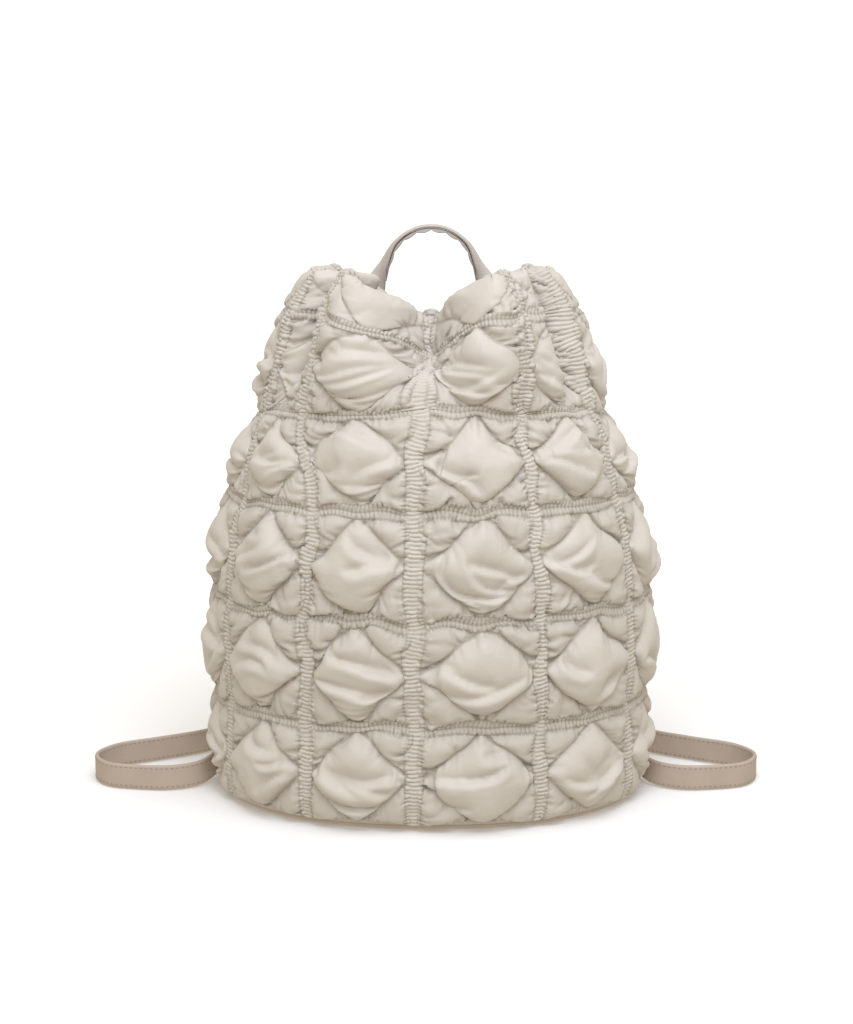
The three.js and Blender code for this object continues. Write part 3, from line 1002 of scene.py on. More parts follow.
@dataclass
class QuiltedWall:
    """Outer cloth and plain inner face of the body and of the collar."""

    wall: WallShape
    cloth: QuiltCloth
    inner_rings: int = 12
    collar_inner_top: float = 5.1
    collar_thicker: float = 2.2
    body_fill: float = 0.7
    collar_fill: float = 0.55
    plain_mark: float = 0.5

    def build(self, material: Material) -> list[Piece]:
        """Makes the two padded walls.

        Args:
            material: Finish of the quilted cloth.

        Returns:
            The body and the collar.
        """
        body = self._stretch("quilted_body_skin", (0, BODY_ROWS), BODY_ROWS, 1.0)
        collar = self._stretch(
            "gathered_collar_skin", (BODY_ROWS, HEM_ROW), self.collar_inner_top, self.collar_thicker
        )
        Mesher.dress(body, material, Slot.FABRIC, "quilted_body")
        Mesher.dress(collar, material, Slot.FABRIC, "gathered_collar")
        return [body, collar]

    def _stretch(self, name: str, rows: tuple[int, int], inner_top: float, thicker: float) -> Piece:
        """Makes a closed stretch of wall between two rows of the swollen cloth.

        Args:
            name: Name of the piece.
            rows: Its lowest and highest quilt row.
            inner_top: Quilt row where its plain inner face ends.
            thicker: Times its backing's thickness that the inner face is set back there.

        Returns:
            The piece.
        """
        steps, backing, foot = self.cloth.steps, self.wall.backing, rows[0]
        outer = self.cloth.points[:, foot * steps:rows[1] * steps + 1]
        column = np.arange(COLUMNS * steps)[None, :] / steps
        row = np.linspace(inner_top, foot, self.inner_rings)[:, None]
        inset = backing + (backing * thicker - backing) * (row - foot) / (inner_top - foot)
        inner = self.wall.stitched(column, row) - self.wall.normal(column, row) * inset
        points = np.concatenate((outer, inner), 1).transpose(1, 2, 0)
        return Mesher.from_grid(name, points, (True, True), self._marks(column, rows))

    def _marks(self, column: Array, rows: tuple[int, int]) -> dict[str, Array]:
        """Numbers for the cloth's finish.

        Args:
            column: Quilt columns of the stretch.
            rows: Its lowest and highest quilt row.

        Returns:
            Distances in cells from bands and diamond edges, and millimetres round and up the quilt.
        """
        steps = self.cloth.steps
        row = np.arange(rows[0] * steps, rows[1] * steps + 1)[:, None] / steps
        upright, cross = to_seam(column), to_seam(row)
        inwards = upright + cross - 0.5 - 1 / self.cloth.coarse_steps
        marks = {
            "upright_distance": upright,
            "cross_distance": cross,
            "edge_distance": np.abs(inwards),
            "in_diamond": inwards,
            "girth": column * CELL,
            "rise": row * CELL,
        }
        plain = np.full((self.inner_rings, column.shape[1]), self.plain_mark)
        return {
            name: np.concatenate((np.broadcast_to(values, inwards.shape), plain), 0)
            for name, values in marks.items()
        }


@dataclass
class SmockedBands:
    """Bands of close gathers between two stitched lines, laid over the cloth where it is held."""

    cloth: QuiltCloth
    run: Run
    pitch: float
    lane_steps: int
    narrow: float
    wide: float
    stitch_lines: tuple[float, ...]
    lift: float
    rib: float = 1.4
    segments: int = 6
    narrowing: Span = (0.15, 0.75)
    margin_steps: int = 2
    bed_lanes: int = 3
    bed_depth: float = 2.0
    crossing: Span = (2.0, 5.0)
    sunk: float = -0.8
    stitch_width: float = 0.7
    pinch: float = 0.5
    stitched_down: float = 0.4
    kink: float = 0.12
    drift_ribs: float = 9.0
    drift: float = 0.2
    bend_ribs: float = 3.0
    bend: float = 0.5
    bend_from: float = 0.6
    roundness: float = 0.55
    uneven_ribs: float = 2.0
    uneven: Span = (0.85, 0.3)
    rib_middle: float = 0.45
    fade_from: float = -0.1
    fewest_knots: int = 4
    samples: int = 1200
    seed: int = 5

    @property
    def is_upright(self) -> bool:
        """Whether the bands run up the wall."""
        return self.run is Run.UPRIGHT

    def build(self, name: str, seams: Iterable[int], ends: Span, material: Material) -> Piece:
        """Makes one piece from all bands of this kind on a part of the bag.

        Args:
            name: Name of the piece.
            seams: Quilt columns of upright bands, or quilt rows of cross bands.
            ends: Quilt rows or columns where the bands start and end.
            material: Finish of the gathered cloth.

        Returns:
            The piece.
        """
        rng = np.random.default_rng(self.seed)
        made = [self._band(f"{name}_{seam}", seam, ends, rng) for seam in seams]
        bm = bmesh.new()
        for band in made:
            bm.from_mesh(band.data)
            bpy.data.meshes.remove(band.data)
        piece = Mesher.finish(name, bm)
        Mesher.dress(piece, material, Slot.FABRIC)
        return piece

    def _band(self, name: str, seam: int, ends: Span, rng: Random) -> Piece:
        """Makes one band as a closed strip: ribs on top and a plain face below.

        Args:
            name: Name of the strip.
            seam: Its quilt column or row.
            ends: Where it starts and ends.
            rng: Seeded source of its unevenness.

        Returns:
            The strip.
        """
        along = self._even_places(seam, ends)[:, None]
        reach = self.wide + (self.narrow - self.wide) * smoothstep(to_seam(along) * 2, *self.narrowing)
        edge = self.stitch_lines[-1]
        lanes = np.linspace(-edge, edge, self.lane_steps + 1)
        margin = edge + (reach - edge) * np.arange(1, self.margin_steps + 1) / self.margin_steps
        side = np.concatenate((-margin[:, ::-1], np.broadcast_to(lanes, (len(along), len(lanes))), margin), 1)
        across = seam + side / CELL
        column, row = np.broadcast_arrays(*((across, along) if self.is_upright else (along, across)))
        bed = self.cloth.sample(column, np.clip(row, 0, HEM_ROW))
        out = self._normals(bed)
        stitched = sum(np.exp(-(((side - line) / self.stitch_width) ** 2)) for line in self.stitch_lines)
        level, ribs = self._ribs(self._drift(bed), side, reach, stitched, rng)
        height = level + ribs
        if not self.is_upright:
            near = np.abs(along - np.round(along)) * CELL
            height = self.sunk + (height - self.sunk) * smoothstep(near, *self.crossing)
        keep = np.linspace(side.shape[1] - 2, 1, self.bed_lanes).round().astype(int)
        below = (bed - out * self.bed_depth)[:, :, keep]
        loop = np.concatenate((bed + out * height, below), 2).transpose(1, 2, 0)
        plain = np.zeros((len(along), len(keep)))
        marks = {"crest": np.concatenate((ribs, plain), 1), "stitch": np.concatenate((stitched, plain), 1)}
        if self.is_upright:
            return Mesher.from_grid(name, loop, (True, False), marks)
        turned = {mark: values.T for mark, values in marks.items()}
        return Mesher.from_grid(name, loop.transpose(1, 0, 2), (True, True), turned)

    def _even_places(self, seam: int, ends: Span) -> Array:
        """Places along a band that are evenly spaced over the cloth, enough of them for its ribs.

        Args:
            seam: Quilt column or row of the band.
            ends: Where it starts and ends.

        Returns:
            Quilt rows of an upright band, or quilt columns of a cross band.
        """
        fine = np.linspace(*ends, self.samples)
        held = np.full_like(fine, float(seam))
        line = self.cloth.sample(held, fine) if self.is_upright else self.cloth.sample(fine, held)
        length = np.concatenate(([0.0], np.cumsum(np.sqrt((np.diff(line, axis=1) ** 2).sum(0)))))
        ribs = round(length[-1] / self.pitch)
        places = np.interp(np.linspace(0, length[-1], ribs * self.segments + 1), length, fine)
        return places if self.is_upright else places[:-1]

    def _drift(self, bed: Array) -> Array:
        """How many ribs each place of a band's bed lies ahead of the middle of its row.

        Args:
            bed: Points of the cloth under the band.

        Returns:
            Shares of a rib, less than 0 behind the middle.
        """
        middle = bed[:, :, bed.shape[2] // 2, None]
        ahead = unit(np.gradient(middle, axis=1), TINY)
        return ((bed - middle) * ahead).sum(0) / self.pitch

    def _ribs(
        self, drift: Array, side: Array, reach: Array, stitched: Array, rng: Random
    ) -> tuple[Array, Array]:
        """Heights of a band and of its gathers.

        Args:
            drift: How many ribs each place lies ahead of the middle of the band.
            side: Millimetres from the middle of the band.
            reach: Half the band's width.
            stitched: Closeness to the stitched lines, from 0 to 1.
            rng: Seeded source of the unevenness.

        Returns:
            Millimetres of the band above the cloth and of its gathers above or below the band.
        """
        count = len(drift)
        turn = np.arange(count)[:, None] / self.segments + drift
        slow = self._noise(rng, count, self.drift_ribs) * self.drift
        left, right = (self._noise(rng, count, self.bend_ribs) * self.bend for _ in range(2))
        edge = self.stitch_lines[-1]
        off_middle = np.abs(side) / edge
        bend = np.where(side < 0, left, right) * np.maximum(off_middle - self.bend_from, 0)
        kink = self.kink * np.cos(off_middle * math.pi)
        wave = np.abs(np.sin(math.pi * (turn + slow + bend + kink))) ** self.roundness
        uneven = self.uneven[0] + self.uneven[1] * self._noise(rng, count, self.uneven_ribs)
        margin = (np.abs(side) - edge) / (reach - edge)
        fade = 1 - smoothstep(margin, self.fade_from, 1.0)
        level = self.sunk + (self.lift - self.sunk) * (1 - smoothstep(margin, 0.0, 1.0))
        ribs = self.rib * (wave * uneven - self.rib_middle) * (1 - self.stitched_down * stitched)
        return level, (ribs - self.pinch * stitched) * fade

    def _noise(self, rng: Random, count: int, ribs: float) -> Array:
        """Smooth random numbers along a band that change over some ribs, alike at both its ends.

        Args:
            rng: Seeded source.
            count: Places along the band.
            ribs: Ribs from one value to the next.

        Returns:
            Values from -1 to 1, one to a row.
        """
        knots = max(int(count / (ribs * self.segments)), self.fewest_knots)
        values = rng.uniform(-1, 1, knots)
        place = np.arange(count) * knots / count
        low = place.astype(int)
        share = smoothstep(place - low, 0, 1)
        return (values[low] * (1 - share) + values[(low + 1) % knots] * share)[:, None]

    def _normals(self, bed: Array) -> Array:
        """Outward directions of a band's bed."""
        ways = np.gradient(bed, axis=2), np.gradient(bed, axis=1)
        return unit(np.cross(*(ways if self.is_upright else ways[::-1]), axis=0), TINY)


@dataclass(frozen=True)
class Station:
    """Place that a leather strip passes through and the way its outer side looks there."""

    point: Array
    face: Array


@dataclass
class LeatherStrip:
    """Flat strip of leather swept through stations on a smooth curve."""

    stations: list[Station]
    width: float
    thickness: float
    steps: int
    edge: float = 0.45
    reach: Span = (0.0, 1.0)
    fineness: int = 60
    look_ahead: float = 0.02
    flats: tuple[float, ...] = (-0.6, -0.2, 0.2, 0.6)
    corner_turns: tuple[float, ...] = (0, 30, 60, 90)

    def frames(self, steps: int) -> tuple[Array, Array, Array, Array]:
        """Evenly spaced frames along the strip.

        Args:
            steps: Number of spaces between frames.

        Returns:
            Middles, sideways directions, outward directions and distances along the strip.
        """
        count = len(self.stations)
        fine = np.linspace(0, count - 1, self.fineness * count)
        line = self._curve(fine)
        length = np.concatenate(([0.0], np.cumsum(np.linalg.norm(np.diff(line, axis=0), axis=1))))
        along = np.linspace(self.reach[0] * length[-1], self.reach[1] * length[-1], steps + 1)
        place = np.interp(along, length, fine)
        after, before = np.minimum(place + self.look_ahead, fine[-1]), np.maximum(place - self.look_ahead, 0)
        ahead = self._curve(after) - self._curve(before)
        tangent = ahead / np.linalg.norm(ahead, axis=1, keepdims=True)
        low = np.minimum(place.astype(int), count - 2)
        faces = np.array([station.face for station in self.stations])
        share = (place - low)[:, None]
        face = faces[low] * (1 - share) + faces[low + 1] * share
        out = face - tangent * (face * tangent).sum(1, keepdims=True)
        out /= np.linalg.norm(out, axis=1, keepdims=True)
        return self._curve(place), np.cross(tangent, out), out, along - along[0]

    def _curve(self, place: Array) -> Array:
        """Points of a smooth curve through the stations, with even speed round uneven spaces.

        Args:
            place: Numbers of stations, with shares between them.

        Returns:
            Points in millimetres.
        """
        points = np.array([station.point for station in self.stations])
        padded = np.concatenate(([2 * points[0] - points[1]], points, [2 * points[-1] - points[-2]]))
        low = np.minimum(place.astype(int), len(points) - 2)
        x0, x1, x2, x3 = (padded[low + k] for k in range(4))
        d0, d1, d2 = (
            np.sqrt(np.linalg.norm(b - a, axis=1, keepdims=True)) for a, b in ((x0, x1), (x1, x2), (x2, x3))
        )
        t1 = ((x1 - x0) / d0 - (x2 - x0) / (d0 + d1) + (x2 - x1) / d1) * d1
        t2 = ((x2 - x1) / d1 - (x3 - x1) / (d1 + d2) + (x3 - x2) / d2) * d1
        s = (place - low)[:, None]
        return x1 + t1 * s + (3 * (x2 - x1) - 2 * t1 - t2) * s**2 + (2 * (x1 - x2) + t1 + t2) * s**3

    def section(self) -> Array:
        """Offsets sideways and outwards of the strip's rounded section, all the way round.

        Returns:
            Pairs in millimetres.
        """
        half, thick = self.width / 2, self.thickness / 2
        radius = self.edge * self.thickness
        flat = np.array(self.flats) * half
        right = [
            (half - radius + radius * math.sin(turn), thick - radius + radius * math.cos(turn))
            for turn in np.radians(self.corner_turns)
        ]
        lower = [(x, -y) for x, y in reversed(right)]
        upper_flat = [(x, thick) for x in flat]
        lower_flat = [(-x, -thick) for x in flat]
        left_lower = [(-x, y) for x, y in reversed(lower)]
        left_upper = [(-x, y) for x, y in reversed(right)]
        return np.array(upper_flat + right + lower + lower_flat + left_lower + left_upper)

    def build(self, name: str, swell: Callable[[Array, Array], Array] | None = None) -> Piece:
        """Makes the strip.

        Args:
            name: Name of the piece.
            swell: Extra outward offset for the section's points, from shares along the strip and
                the section's own outward offsets.

        Returns:
            The object, with closed ends.
        """
        middle, sideways, out, along = self.frames(self.steps)
        section = self.section()
        offset = np.broadcast_to(section[None, :, 1], (len(middle), len(section)))
        if swell is not None:
            offset = offset + swell((along / along[-1])[:, None], section[None, :, 1])
        beside = sideways[:, None] * section[None, :, :1]
        points = middle[:, None] + beside + out[:, None] * offset[:, :, None]
        return Mesher.from_grid(name, points, (True, False), {})


@dataclass
class Stitches:
    """Rows of thread stitches along a leather strip."""

    pitch: float = 3.3
    length: float = 2.3
    thick: float = 0.62
    inset: float = 1.9
    bare_end: float = 4.0

    def build(self, name: str, strip: LeatherStrip) -> Piece:
        """Makes the stitches on both faces of a strip, near both its edges.

        Args:
            name: Name of the piece.
            strip: The strip that they hold.

        Returns:
            The object.
        """
        total = strip.frames(1)[3][-1]
        middle, sideways, out, along = strip.frames(round(total / self.pitch))
        tangent = np.cross(sideways, out)
        bm = bmesh.new()
        beside = strip.width / 2 - self.inset
        size = Matrix.Diagonal((self.length / 2, self.thick / 2, self.thick / 2, 1.0))
        for k in np.flatnonzero((along > self.bare_end) & (along < total - self.bare_end)):
            turn = Matrix((tangent[k], sideways[k], out[k])).transposed().to_4x4()
            for edge in (-beside, beside):
                for face in (-1, 1):
                    spot = middle[k] + sideways[k] * edge + out[k] * (face * strip.thickness / 2)
                    place = Matrix.Translation(Vector(spot)) @ turn @ size
                    bmesh.ops.create_icosphere(bm, subdivisions=1, radius=1.0, matrix=place)
        bmesh.ops.scale(bm, vec=(METRE,) * 3, verts=bm.verts)
        return Mesher.finish(name, bm)


@dataclass
class ShoulderStrap:
    """Leather strap from the back of the bag along the floor to its foot at the side."""

    wall: WallShape
    side: int
    spread: float
    width: float = 16.0
    thickness: float = 2.6
    steps: int = 420
    top_column: float = 0.4
    top_rows: Span = (3.94, 3.58)
    foot_columns: Span = (3.12, 3.55)
    foot_row: float = 0.17
    seat_places: int = 5
    route: tuple[tuple[float, float, float, float], ...] = (
        (20, 104, 195, 90), (21, 115, 177, 90), (23, 121.5, 158, 90), (30, 124.5, 124, 89),
        (46, 124, 76, 84), (66, 120, 35, 74), (92, 108, 12.5, 62), (122, 78, 8.6, 47),
        (148, 52, 8.6, 52), (176, 36, 8.6, 61), (202, 22, 8.6, 48), (213, 3, 8.6, 4),
        (205, -15, 8.6, -49), (184, -22, 8.6, -79), (163, -23, 8.8, -99), (147, -16, 9.4, -130),
        (139, -3, 10.4, -159),
    )

    def strip(self) -> LeatherStrip:
        """The strap as a strip through its seats and its route over the floor.

        Returns:
            The strip.
        """
        half = self.thickness / 2
        column = COLUMNS / 2 - self.side * self.top_column
        top = [self.wall.seat(column, row, half, 1) for row in np.linspace(*self.top_rows, self.seat_places)]
        floor = []
        for x, y, z, face in self.route:
            look = math.radians(face)
            floor.append((
                np.array((self.side * self.spread * x, y, z)),
                np.array((self.side * math.cos(look), math.sin(look), 0.0)),
            ))
        foot = [
            self.wall.seat(self.side * column, self.foot_row, half, -1)
            for column in np.linspace(*self.foot_columns, self.seat_places)
        ]
        stations = [Station(*place) for place in (*top, *floor, *foot)]
        return LeatherStrip(stations, self.width, self.thickness, self.steps)

    def build(self, leather: Material, thread: Material) -> list[Piece]:
        """Makes the strap and its stitches.

        Args:
            leather: Finish of the strap.
            thread: Finish of the stitches.

        Returns:
            The strap and its stitches.
        """
        name = "right" if self.side > 0 else "left"
        strip = self.strip()
        length = strip.frames(1)[3][-1] * METRE
        strap = strip.build(f"shoulder_strap_{name}_leather")
        stitches = Stitches().build(f"shoulder_strap_{name}_stitches", strip)
        Mesher.dress(strap, leather, Slot.LEATHER, f"shoulder_strap_{name}")
        Mesher.dress(stitches, thread, Slot.LEATHER)
        self.width * METRE
        LOG.info("%s strap is %.3f m long", name, length)
        return [strap, stitches]


@dataclass
class CarryHandle:
    """Leather handle that arches behind the collar, with a puckered inner ply."""

    wall: WallShape
    width: float = 15.0
    thickness: float = 2.0
    steps: int = 260
    column: float = 1.1
    rows: Span = (4.12, 5.35)
    seat_places: int = 5
    top_height: float = 354.0
    top_depth: float = 46.0
    half_span: float = 31.5
    rise: float = 35.0
    lean: float = 0.55
    turn_to_front: float = 0.36
    turn_sharpness: int = 7
    lean_back: float = 0.12
    turns: tuple[float, ...] = (-75, -45, -15, 15, 45, 75)
    lining_width: float = 12.5
    lining_thickness: float = 0.9
    lining_steps: int = 160
    lining_reach: Span = (0.31, 0.69)
    pucker: float = 1.7
    puckers: int = 10
    pucker_roundness: float = 0.7

    def stations(self) -> list[Station]:
        """Stations from the left seat over the top to the right seat.

        Returns:
            The stations in order.
        """
        half = self.thickness / 2
        rows = np.linspace(*self.rows, self.seat_places)
        left, right = (
            [self.wall.seat(COLUMNS / 2 - side * self.column, row, half, -1) for row in rows]
            for side in (-1, 1)
        )
        depth_from = left[-1][0][1]
        arch = []
        for turn in np.radians(self.turns):
            across, up = math.sin(turn), math.cos(turn)
            depth = depth_from + (self.top_depth - depth_from) * (1 - self.lean * (1 - up))
            height = self.top_height - self.rise * (1 - up)
            turned = self.turn_to_front * abs(across) ** self.turn_sharpness
            face = np.array((across, self.lean_back * up - turned, up))
            arch.append((np.array((self.half_span * across, depth, height)), face / np.linalg.norm(face)))
        return [Station(*place) for place in (*left, *arch, *right[::-1])]

    def build(self, leather: Material) -> list[Piece]:
        """Makes the handle and its inner ply.

        Args:
            leather: Finish of both.

        Returns:
            The handle and its inner ply.
        """
        stations = self.stations()
        handle = LeatherStrip(stations, self.width, self.thickness, self.steps).build("carry_handle_leather")
        ply = LeatherStrip(
            stations, self.lining_width, self.lining_thickness, self.lining_steps, reach=self.lining_reach
        )
        drop = -(self.thickness + self.lining_thickness) / 2 - self.wall.seat_gap

        def scallops(share: Array, outward: Array) -> Array:
            """Drops the ply under the handle and puckers its lower face."""
            wave = np.abs(np.sin(share * self.puckers * math.pi)) ** self.pucker_roundness
            return drop - np.where(outward < 0, self.pucker * wave * np.sin(share * math.pi), 0.0)

        lining = ply.build("handle_lining_leather", scallops)
        Mesher.dress(handle, leather, Slot.LEATHER, "carry_handle")
        Mesher.dress(lining, leather, Slot.LEATHER, "handle_lining")
        return [handle, lining]


@dataclass
class BasePanel:
    """Oval leather base with a softened edge."""

    half_width: float = 132.0
    half_depth: float = 98.0
    thickness: float = 5.0
    edge: float = 2.3
    edge_steps: int = 4
    segments: int = 192
    squareness: float = 2.2

    def build(self, leather: Material) -> Piece:
        """Makes the base.

        Args:
            leather: Its finish.

        Returns:
            The base, flat on the floor.
        """
        bm = bmesh.new()
        bmesh.ops.create_circle(bm, cap_ends=True, segments=self.segments, radius=1.0)
        for vert in bm.verts:
            for axis, half in ((0, self.half_width), (1, self.half_depth)):
                value = vert.co[axis]
                vert.co[axis] = math.copysign(abs(value) ** (2 / self.squareness), value) * half * METRE
        grown = bmesh.ops.extrude_face_region(bm, geom=list(bm.faces))
        raised = [item for item in grown["geom"] if isinstance(item, bmesh.types.BMVert)]
        bmesh.ops.translate(bm, vec=(0, 0, self.thickness * METRE), verts=raised)
        bmesh.ops.recalc_face_normals(bm, faces=bm.faces)
        rims = [edge for edge in bm.edges if abs(edge.verts[0].co.z - edge.verts[1].co.z) < SHORTEST]
        bmesh.ops.bevel(bm, geom=rims, offset=self.edge * METRE, offset_type="OFFSET", affect="EDGES",
                        segments=self.edge_steps, profile=0.5, material=-1)
        base = Mesher.finish("base_panel_leather", bm)
        return Mesher.dress(base, leather, Slot.LEATHER, "base_panel")


class Socket:
    """Output of a shader node that takes part in sums."""

    def __init__(self, shader: "Shader", output: bpy.types.NodeSocket) -> None:
        """Keeps the node tree and the output."""
        self.shader = shader
        self.output = output

    def _math(self, operation: str, first: Any, second: Any) -> "Socket":
        """Adds one Math node."""
        return self.shader.node("ShaderNodeMath", {"operation": operation}, {0: first, 1: second})

    def __add__(self, other: Any) -> "Socket":
        """Sum."""
        return self._math("ADD", self, other)

    def __radd__(self, other: Any) -> "Socket":
        """Sum, from the right."""
        return self._math("ADD", other, self)

    def __sub__(self, other: Any) -> "Socket":
        """Difference."""
        return self._math("SUBTRACT", self, other)

    def __rsub__(self, other: Any) -> "Socket":
        """Difference, from the right."""
        return self._math("SUBTRACT", other, self)

    def __mul__(self, other: Any) -> "Socket":
        """Product."""
        return self._math("MULTIPLY", self, other)

    def __rmul__(self, other: Any) -> "Socket":
        """Product, from the right."""
        return self._math("MULTIPLY", other, self)

    def sine(self) -> "Socket":
        """Sine of an angle in radians."""
        return self._math("SINE", self, 0.0)

    def step(self, low: float, high: float) -> "Socket":
        """Smooth step from 0 at low to 1 at high."""
        return self.shader.node(
            "ShaderNodeMapRange", {"interpolation_type": "SMOOTHSTEP"},
            {"Value": self, "From Min": low, "From Max": high},
        )


class Shader:
    """Node tree of one procedural material, or of the world."""

    def __init__(self, owner: Material | bpy.types.World, surface: str = "Principled BSDF") -> None:
        """Starts at the surface node of a new material or world.

        Args:
            owner: The material or world.
            surface: Name of its surface node.
        """
        owner.use_nodes = True
        self.owner = owner
        self.tree = owner.node_tree
        self.surface = self.tree.nodes[surface]

    @classmethod
    def of_material(cls, name: str) -> "Shader":
        """Starts a material with a principled shader."""
        return cls(bpy.data.materials.new(name))

    def node(self, kind: str, settings: dict[str, Any], inputs: dict[Any, Any], output: Any = 0) -> Socket:
        """Adds a node.

        Args:
            kind: Type of the node.
            settings: Its properties, set first.
            inputs: Values or links of its sockets, by name or number.
            output: Name or number of the output that is wanted.

        Returns:
            That output.
        """
        made = self.tree.nodes.new(kind)
        for name, value in settings.items():
            setattr(made, name, value)
        for name, value in inputs.items():
            self._set(made.inputs[name], value)
        return Socket(self, made.outputs[output])

    def _set(self, socket: bpy.types.NodeSocket, value: Any) -> None:
        """Links or sets one input.

        Args:
            socket: The input.
            value: A link's source or a plain value.
        """
        if isinstance(value, Socket):
            self.tree.links.new(value.output, socket)
        else:
            socket.default_value = value

    def surface_of(self, inputs: dict[str, Any]) -> Material | bpy.types.World:
        """Sets the surface node's inputs and returns the material or world.

        Args:
            inputs: Values or links of its sockets by name.

        Returns:
            The finished material or world.
        """
        for name, value in inputs.items():
            self._set(self.surface.inputs[name], value)
        return self.owner

    def mark(self, name: str) -> Socket:
        """Number kept on the mesh under a name."""
        return self.node("ShaderNodeAttribute", {"attribute_name": name}, {}, "Fac")

    def place(self) -> Socket:
        """Object coordinates in metres."""
        return self.node("ShaderNodeTexCoord", {}, {}, "Object")

    def noise(self, scale: float, detail: float, rough: float = 0.55) -> Socket:
        """Noise over the object with a number of features to the metre."""
        inputs = {"Vector": self.place(), "Scale": scale, "Detail": detail, "Roughness": rough}
        return self.node("ShaderNodeTexNoise", {}, inputs)

    def blend(self, share: Any, first: Any, second: Any) -> Socket:
        """Mix of two colours."""
        return self.node("ShaderNodeMix", {"data_type": "RGBA"}, {0: share, 6: first, 7: second}, 2)

    def bump(self, height: Socket, distance: float, strength: float) -> Socket:
        """Normal from a height in shares of a distance in metres."""
        return self.node("ShaderNodeBump", {}, {"Strength": strength, "Distance": distance, "Height": height})


@dataclass(frozen=True)
class NylonFinish:
    """Satin nylon of the quilting: soft sheen, fine crumple, painted shade in seams, valleys and triangles.

    Noises are features to the metre, their detail and their roughness. Pairs named for a place are the
    distances or heights between which its painted shade sets in.
    """

    name: str
    is_band: bool = False
    # painted shade over each whole band; cross bands get more, as if shaded by the triangles above them
    painted_shade: float = 0.05
    colour: Colour = (0.57, 0.522, 0.466, 1.0)
    # deep: the colour that the painted shade in seams, rib valleys, stitched lines and triangles mixes
    # towards
    deep: Colour = (0.366, 0.326, 0.274, 1.0)
    pale: Colour = (0.598, 0.551, 0.495, 1.0)
    cloud_noise: Span = (26.0, 3.0)
    cloud: Span = (0.35, 0.65)
    crumple_noise: Place = (210.0, 4.0, 0.6)
    grain_noise: Span = (1500.0, 2.0)
    grain_height: float = 0.25
    valley: Span = (-0.7, 0.2)
    # painted shade in the rib valleys and in the pinched stitched lines of the bands
    valley_painted_shade: float = 0.7
    stitch_painted_shade: float = 0.35
    band_crumple: float = 0.5
    # painted shade beside the bands, in the stitched grooves along the diamond edges and over the triangles
    near_band: Span = (0.03, 0.12)
    band_painted_shade: float = 0.15
    near_edge: Span = (0.005, 0.03)
    edge_painted_shade: float = 0.5
    ground: Span = (-0.02, 0.02)
    ground_painted_shade: float = 0.2
    rib_pitches: Span = (3.2, 2.4)
    rib_heights: Span = (0.5, 0.4)
    gloss_noise: Span = (90.0, 2.0)
    gloss: Span = (0.16, 0.46)
    sheen: Span = (0.18, 0.45)
    specular: float = 0.35
    relief: Span = (0.0007, 0.55)

    def make(self) -> Material:
        """Makes the material.

        Returns:
            The finished material.
        """
        shader = Shader.of_material(self.name)
        tone = shader.blend(shader.noise(*self.cloud_noise).step(*self.cloud), self.colour, self.pale)
        crumple = shader.noise(*self.crumple_noise)
        grain = shader.noise(*self.grain_noise) * self.grain_height
        if self.is_band:
            valley = 1 - shader.mark("crest").step(*self.valley)
            # painted shade: rib valleys, pinched stitched lines and the whole band darkened towards deep
            depth = valley * self.valley_painted_shade + shader.mark("stitch") * self.stitch_painted_shade + self.painted_shade
            height = crumple * self.band_crumple + grain
        else:
            upright, cross = (
                1 - shader.mark(f"{run.value}_distance").step(*self.near_band) for run in Run
            )
            edge = 1 - shader.mark("edge_distance").step(*self.near_edge)
            ground = 1 - shader.mark("in_diamond").step(*self.ground)
            # painted shade: darker beside the bands, along the stitched diamond edges and over the triangles,
            # which get less light
            depth = (upright + cross) * self.band_painted_shade + edge * self.edge_painted_shade + ground * self.ground_painted_shade
            rib_up, rib_across = (
                (shader.mark(mark) * (math.tau / pitch)).sine() * near * rib
                for mark, pitch, near, rib in zip(("rise", "girth"), self.rib_pitches, (upright, cross),
                                                  self.rib_heights)
            )
            height = crumple + grain + rib_up + rib_across
        return shader.surface_of({
            # base colour: cloud tones darkened towards deep by painted shade
            "Base Color": shader.blend(depth, tone, self.deep),
            "Roughness": shader.noise(*self.gloss_noise) * self.gloss[0] + self.gloss[1],
            "Sheen Weight": self.sheen[0],
            "Sheen Roughness": self.sheen[1],
            "Specular IOR Level": self.specular,
            "Normal": shader.bump(height, *self.relief),
        })


@dataclass(frozen=True)
class LeatherFinish:
    """Smooth coated leather with a fine grain of cells and soft clouds of colour."""

    name: str
    colour: Colour = (0.45, 0.37, 0.308, 1.0)
    pale: Colour = (0.479, 0.394, 0.328, 1.0)
    cloud_noise: Span = (60.0, 3.0)
    cloud: Span = (0.3, 0.7)
    cells: float = 1300.0
    cell_edge: Span = (0.0, 0.3)
    crumple_noise: Span = (420.0, 3.0)
    grain_height: float = 0.6
    gloss_noise: Span = (150.0, 2.0)
    gloss: Span = (0.14, 0.42)
    specular: float = 0.4
    relief: Span = (0.00022, 0.5)

    def make(self) -> Material:
        """Makes the material.

        Returns:
            The finished material.
        """
        shader = Shader.of_material(self.name)
        cells = shader.node(
            "ShaderNodeTexVoronoi", {"feature": "DISTANCE_TO_EDGE"},
            {"Vector": shader.place(), "Scale": self.cells},
        ).step(*self.cell_edge)
        height = cells * self.grain_height + shader.noise(*self.crumple_noise) * self.grain_height
        return shader.surface_of({
            "Base Color": shader.blend(
                shader.noise(*self.cloud_noise).step(*self.cloud), self.colour, self.pale
            ),
            "Roughness": shader.noise(*self.gloss_noise) * self.gloss[0] + self.gloss[1],
            "Specular IOR Level": self.specular,
            "Normal": shader.bump(height, *self.relief),
        })


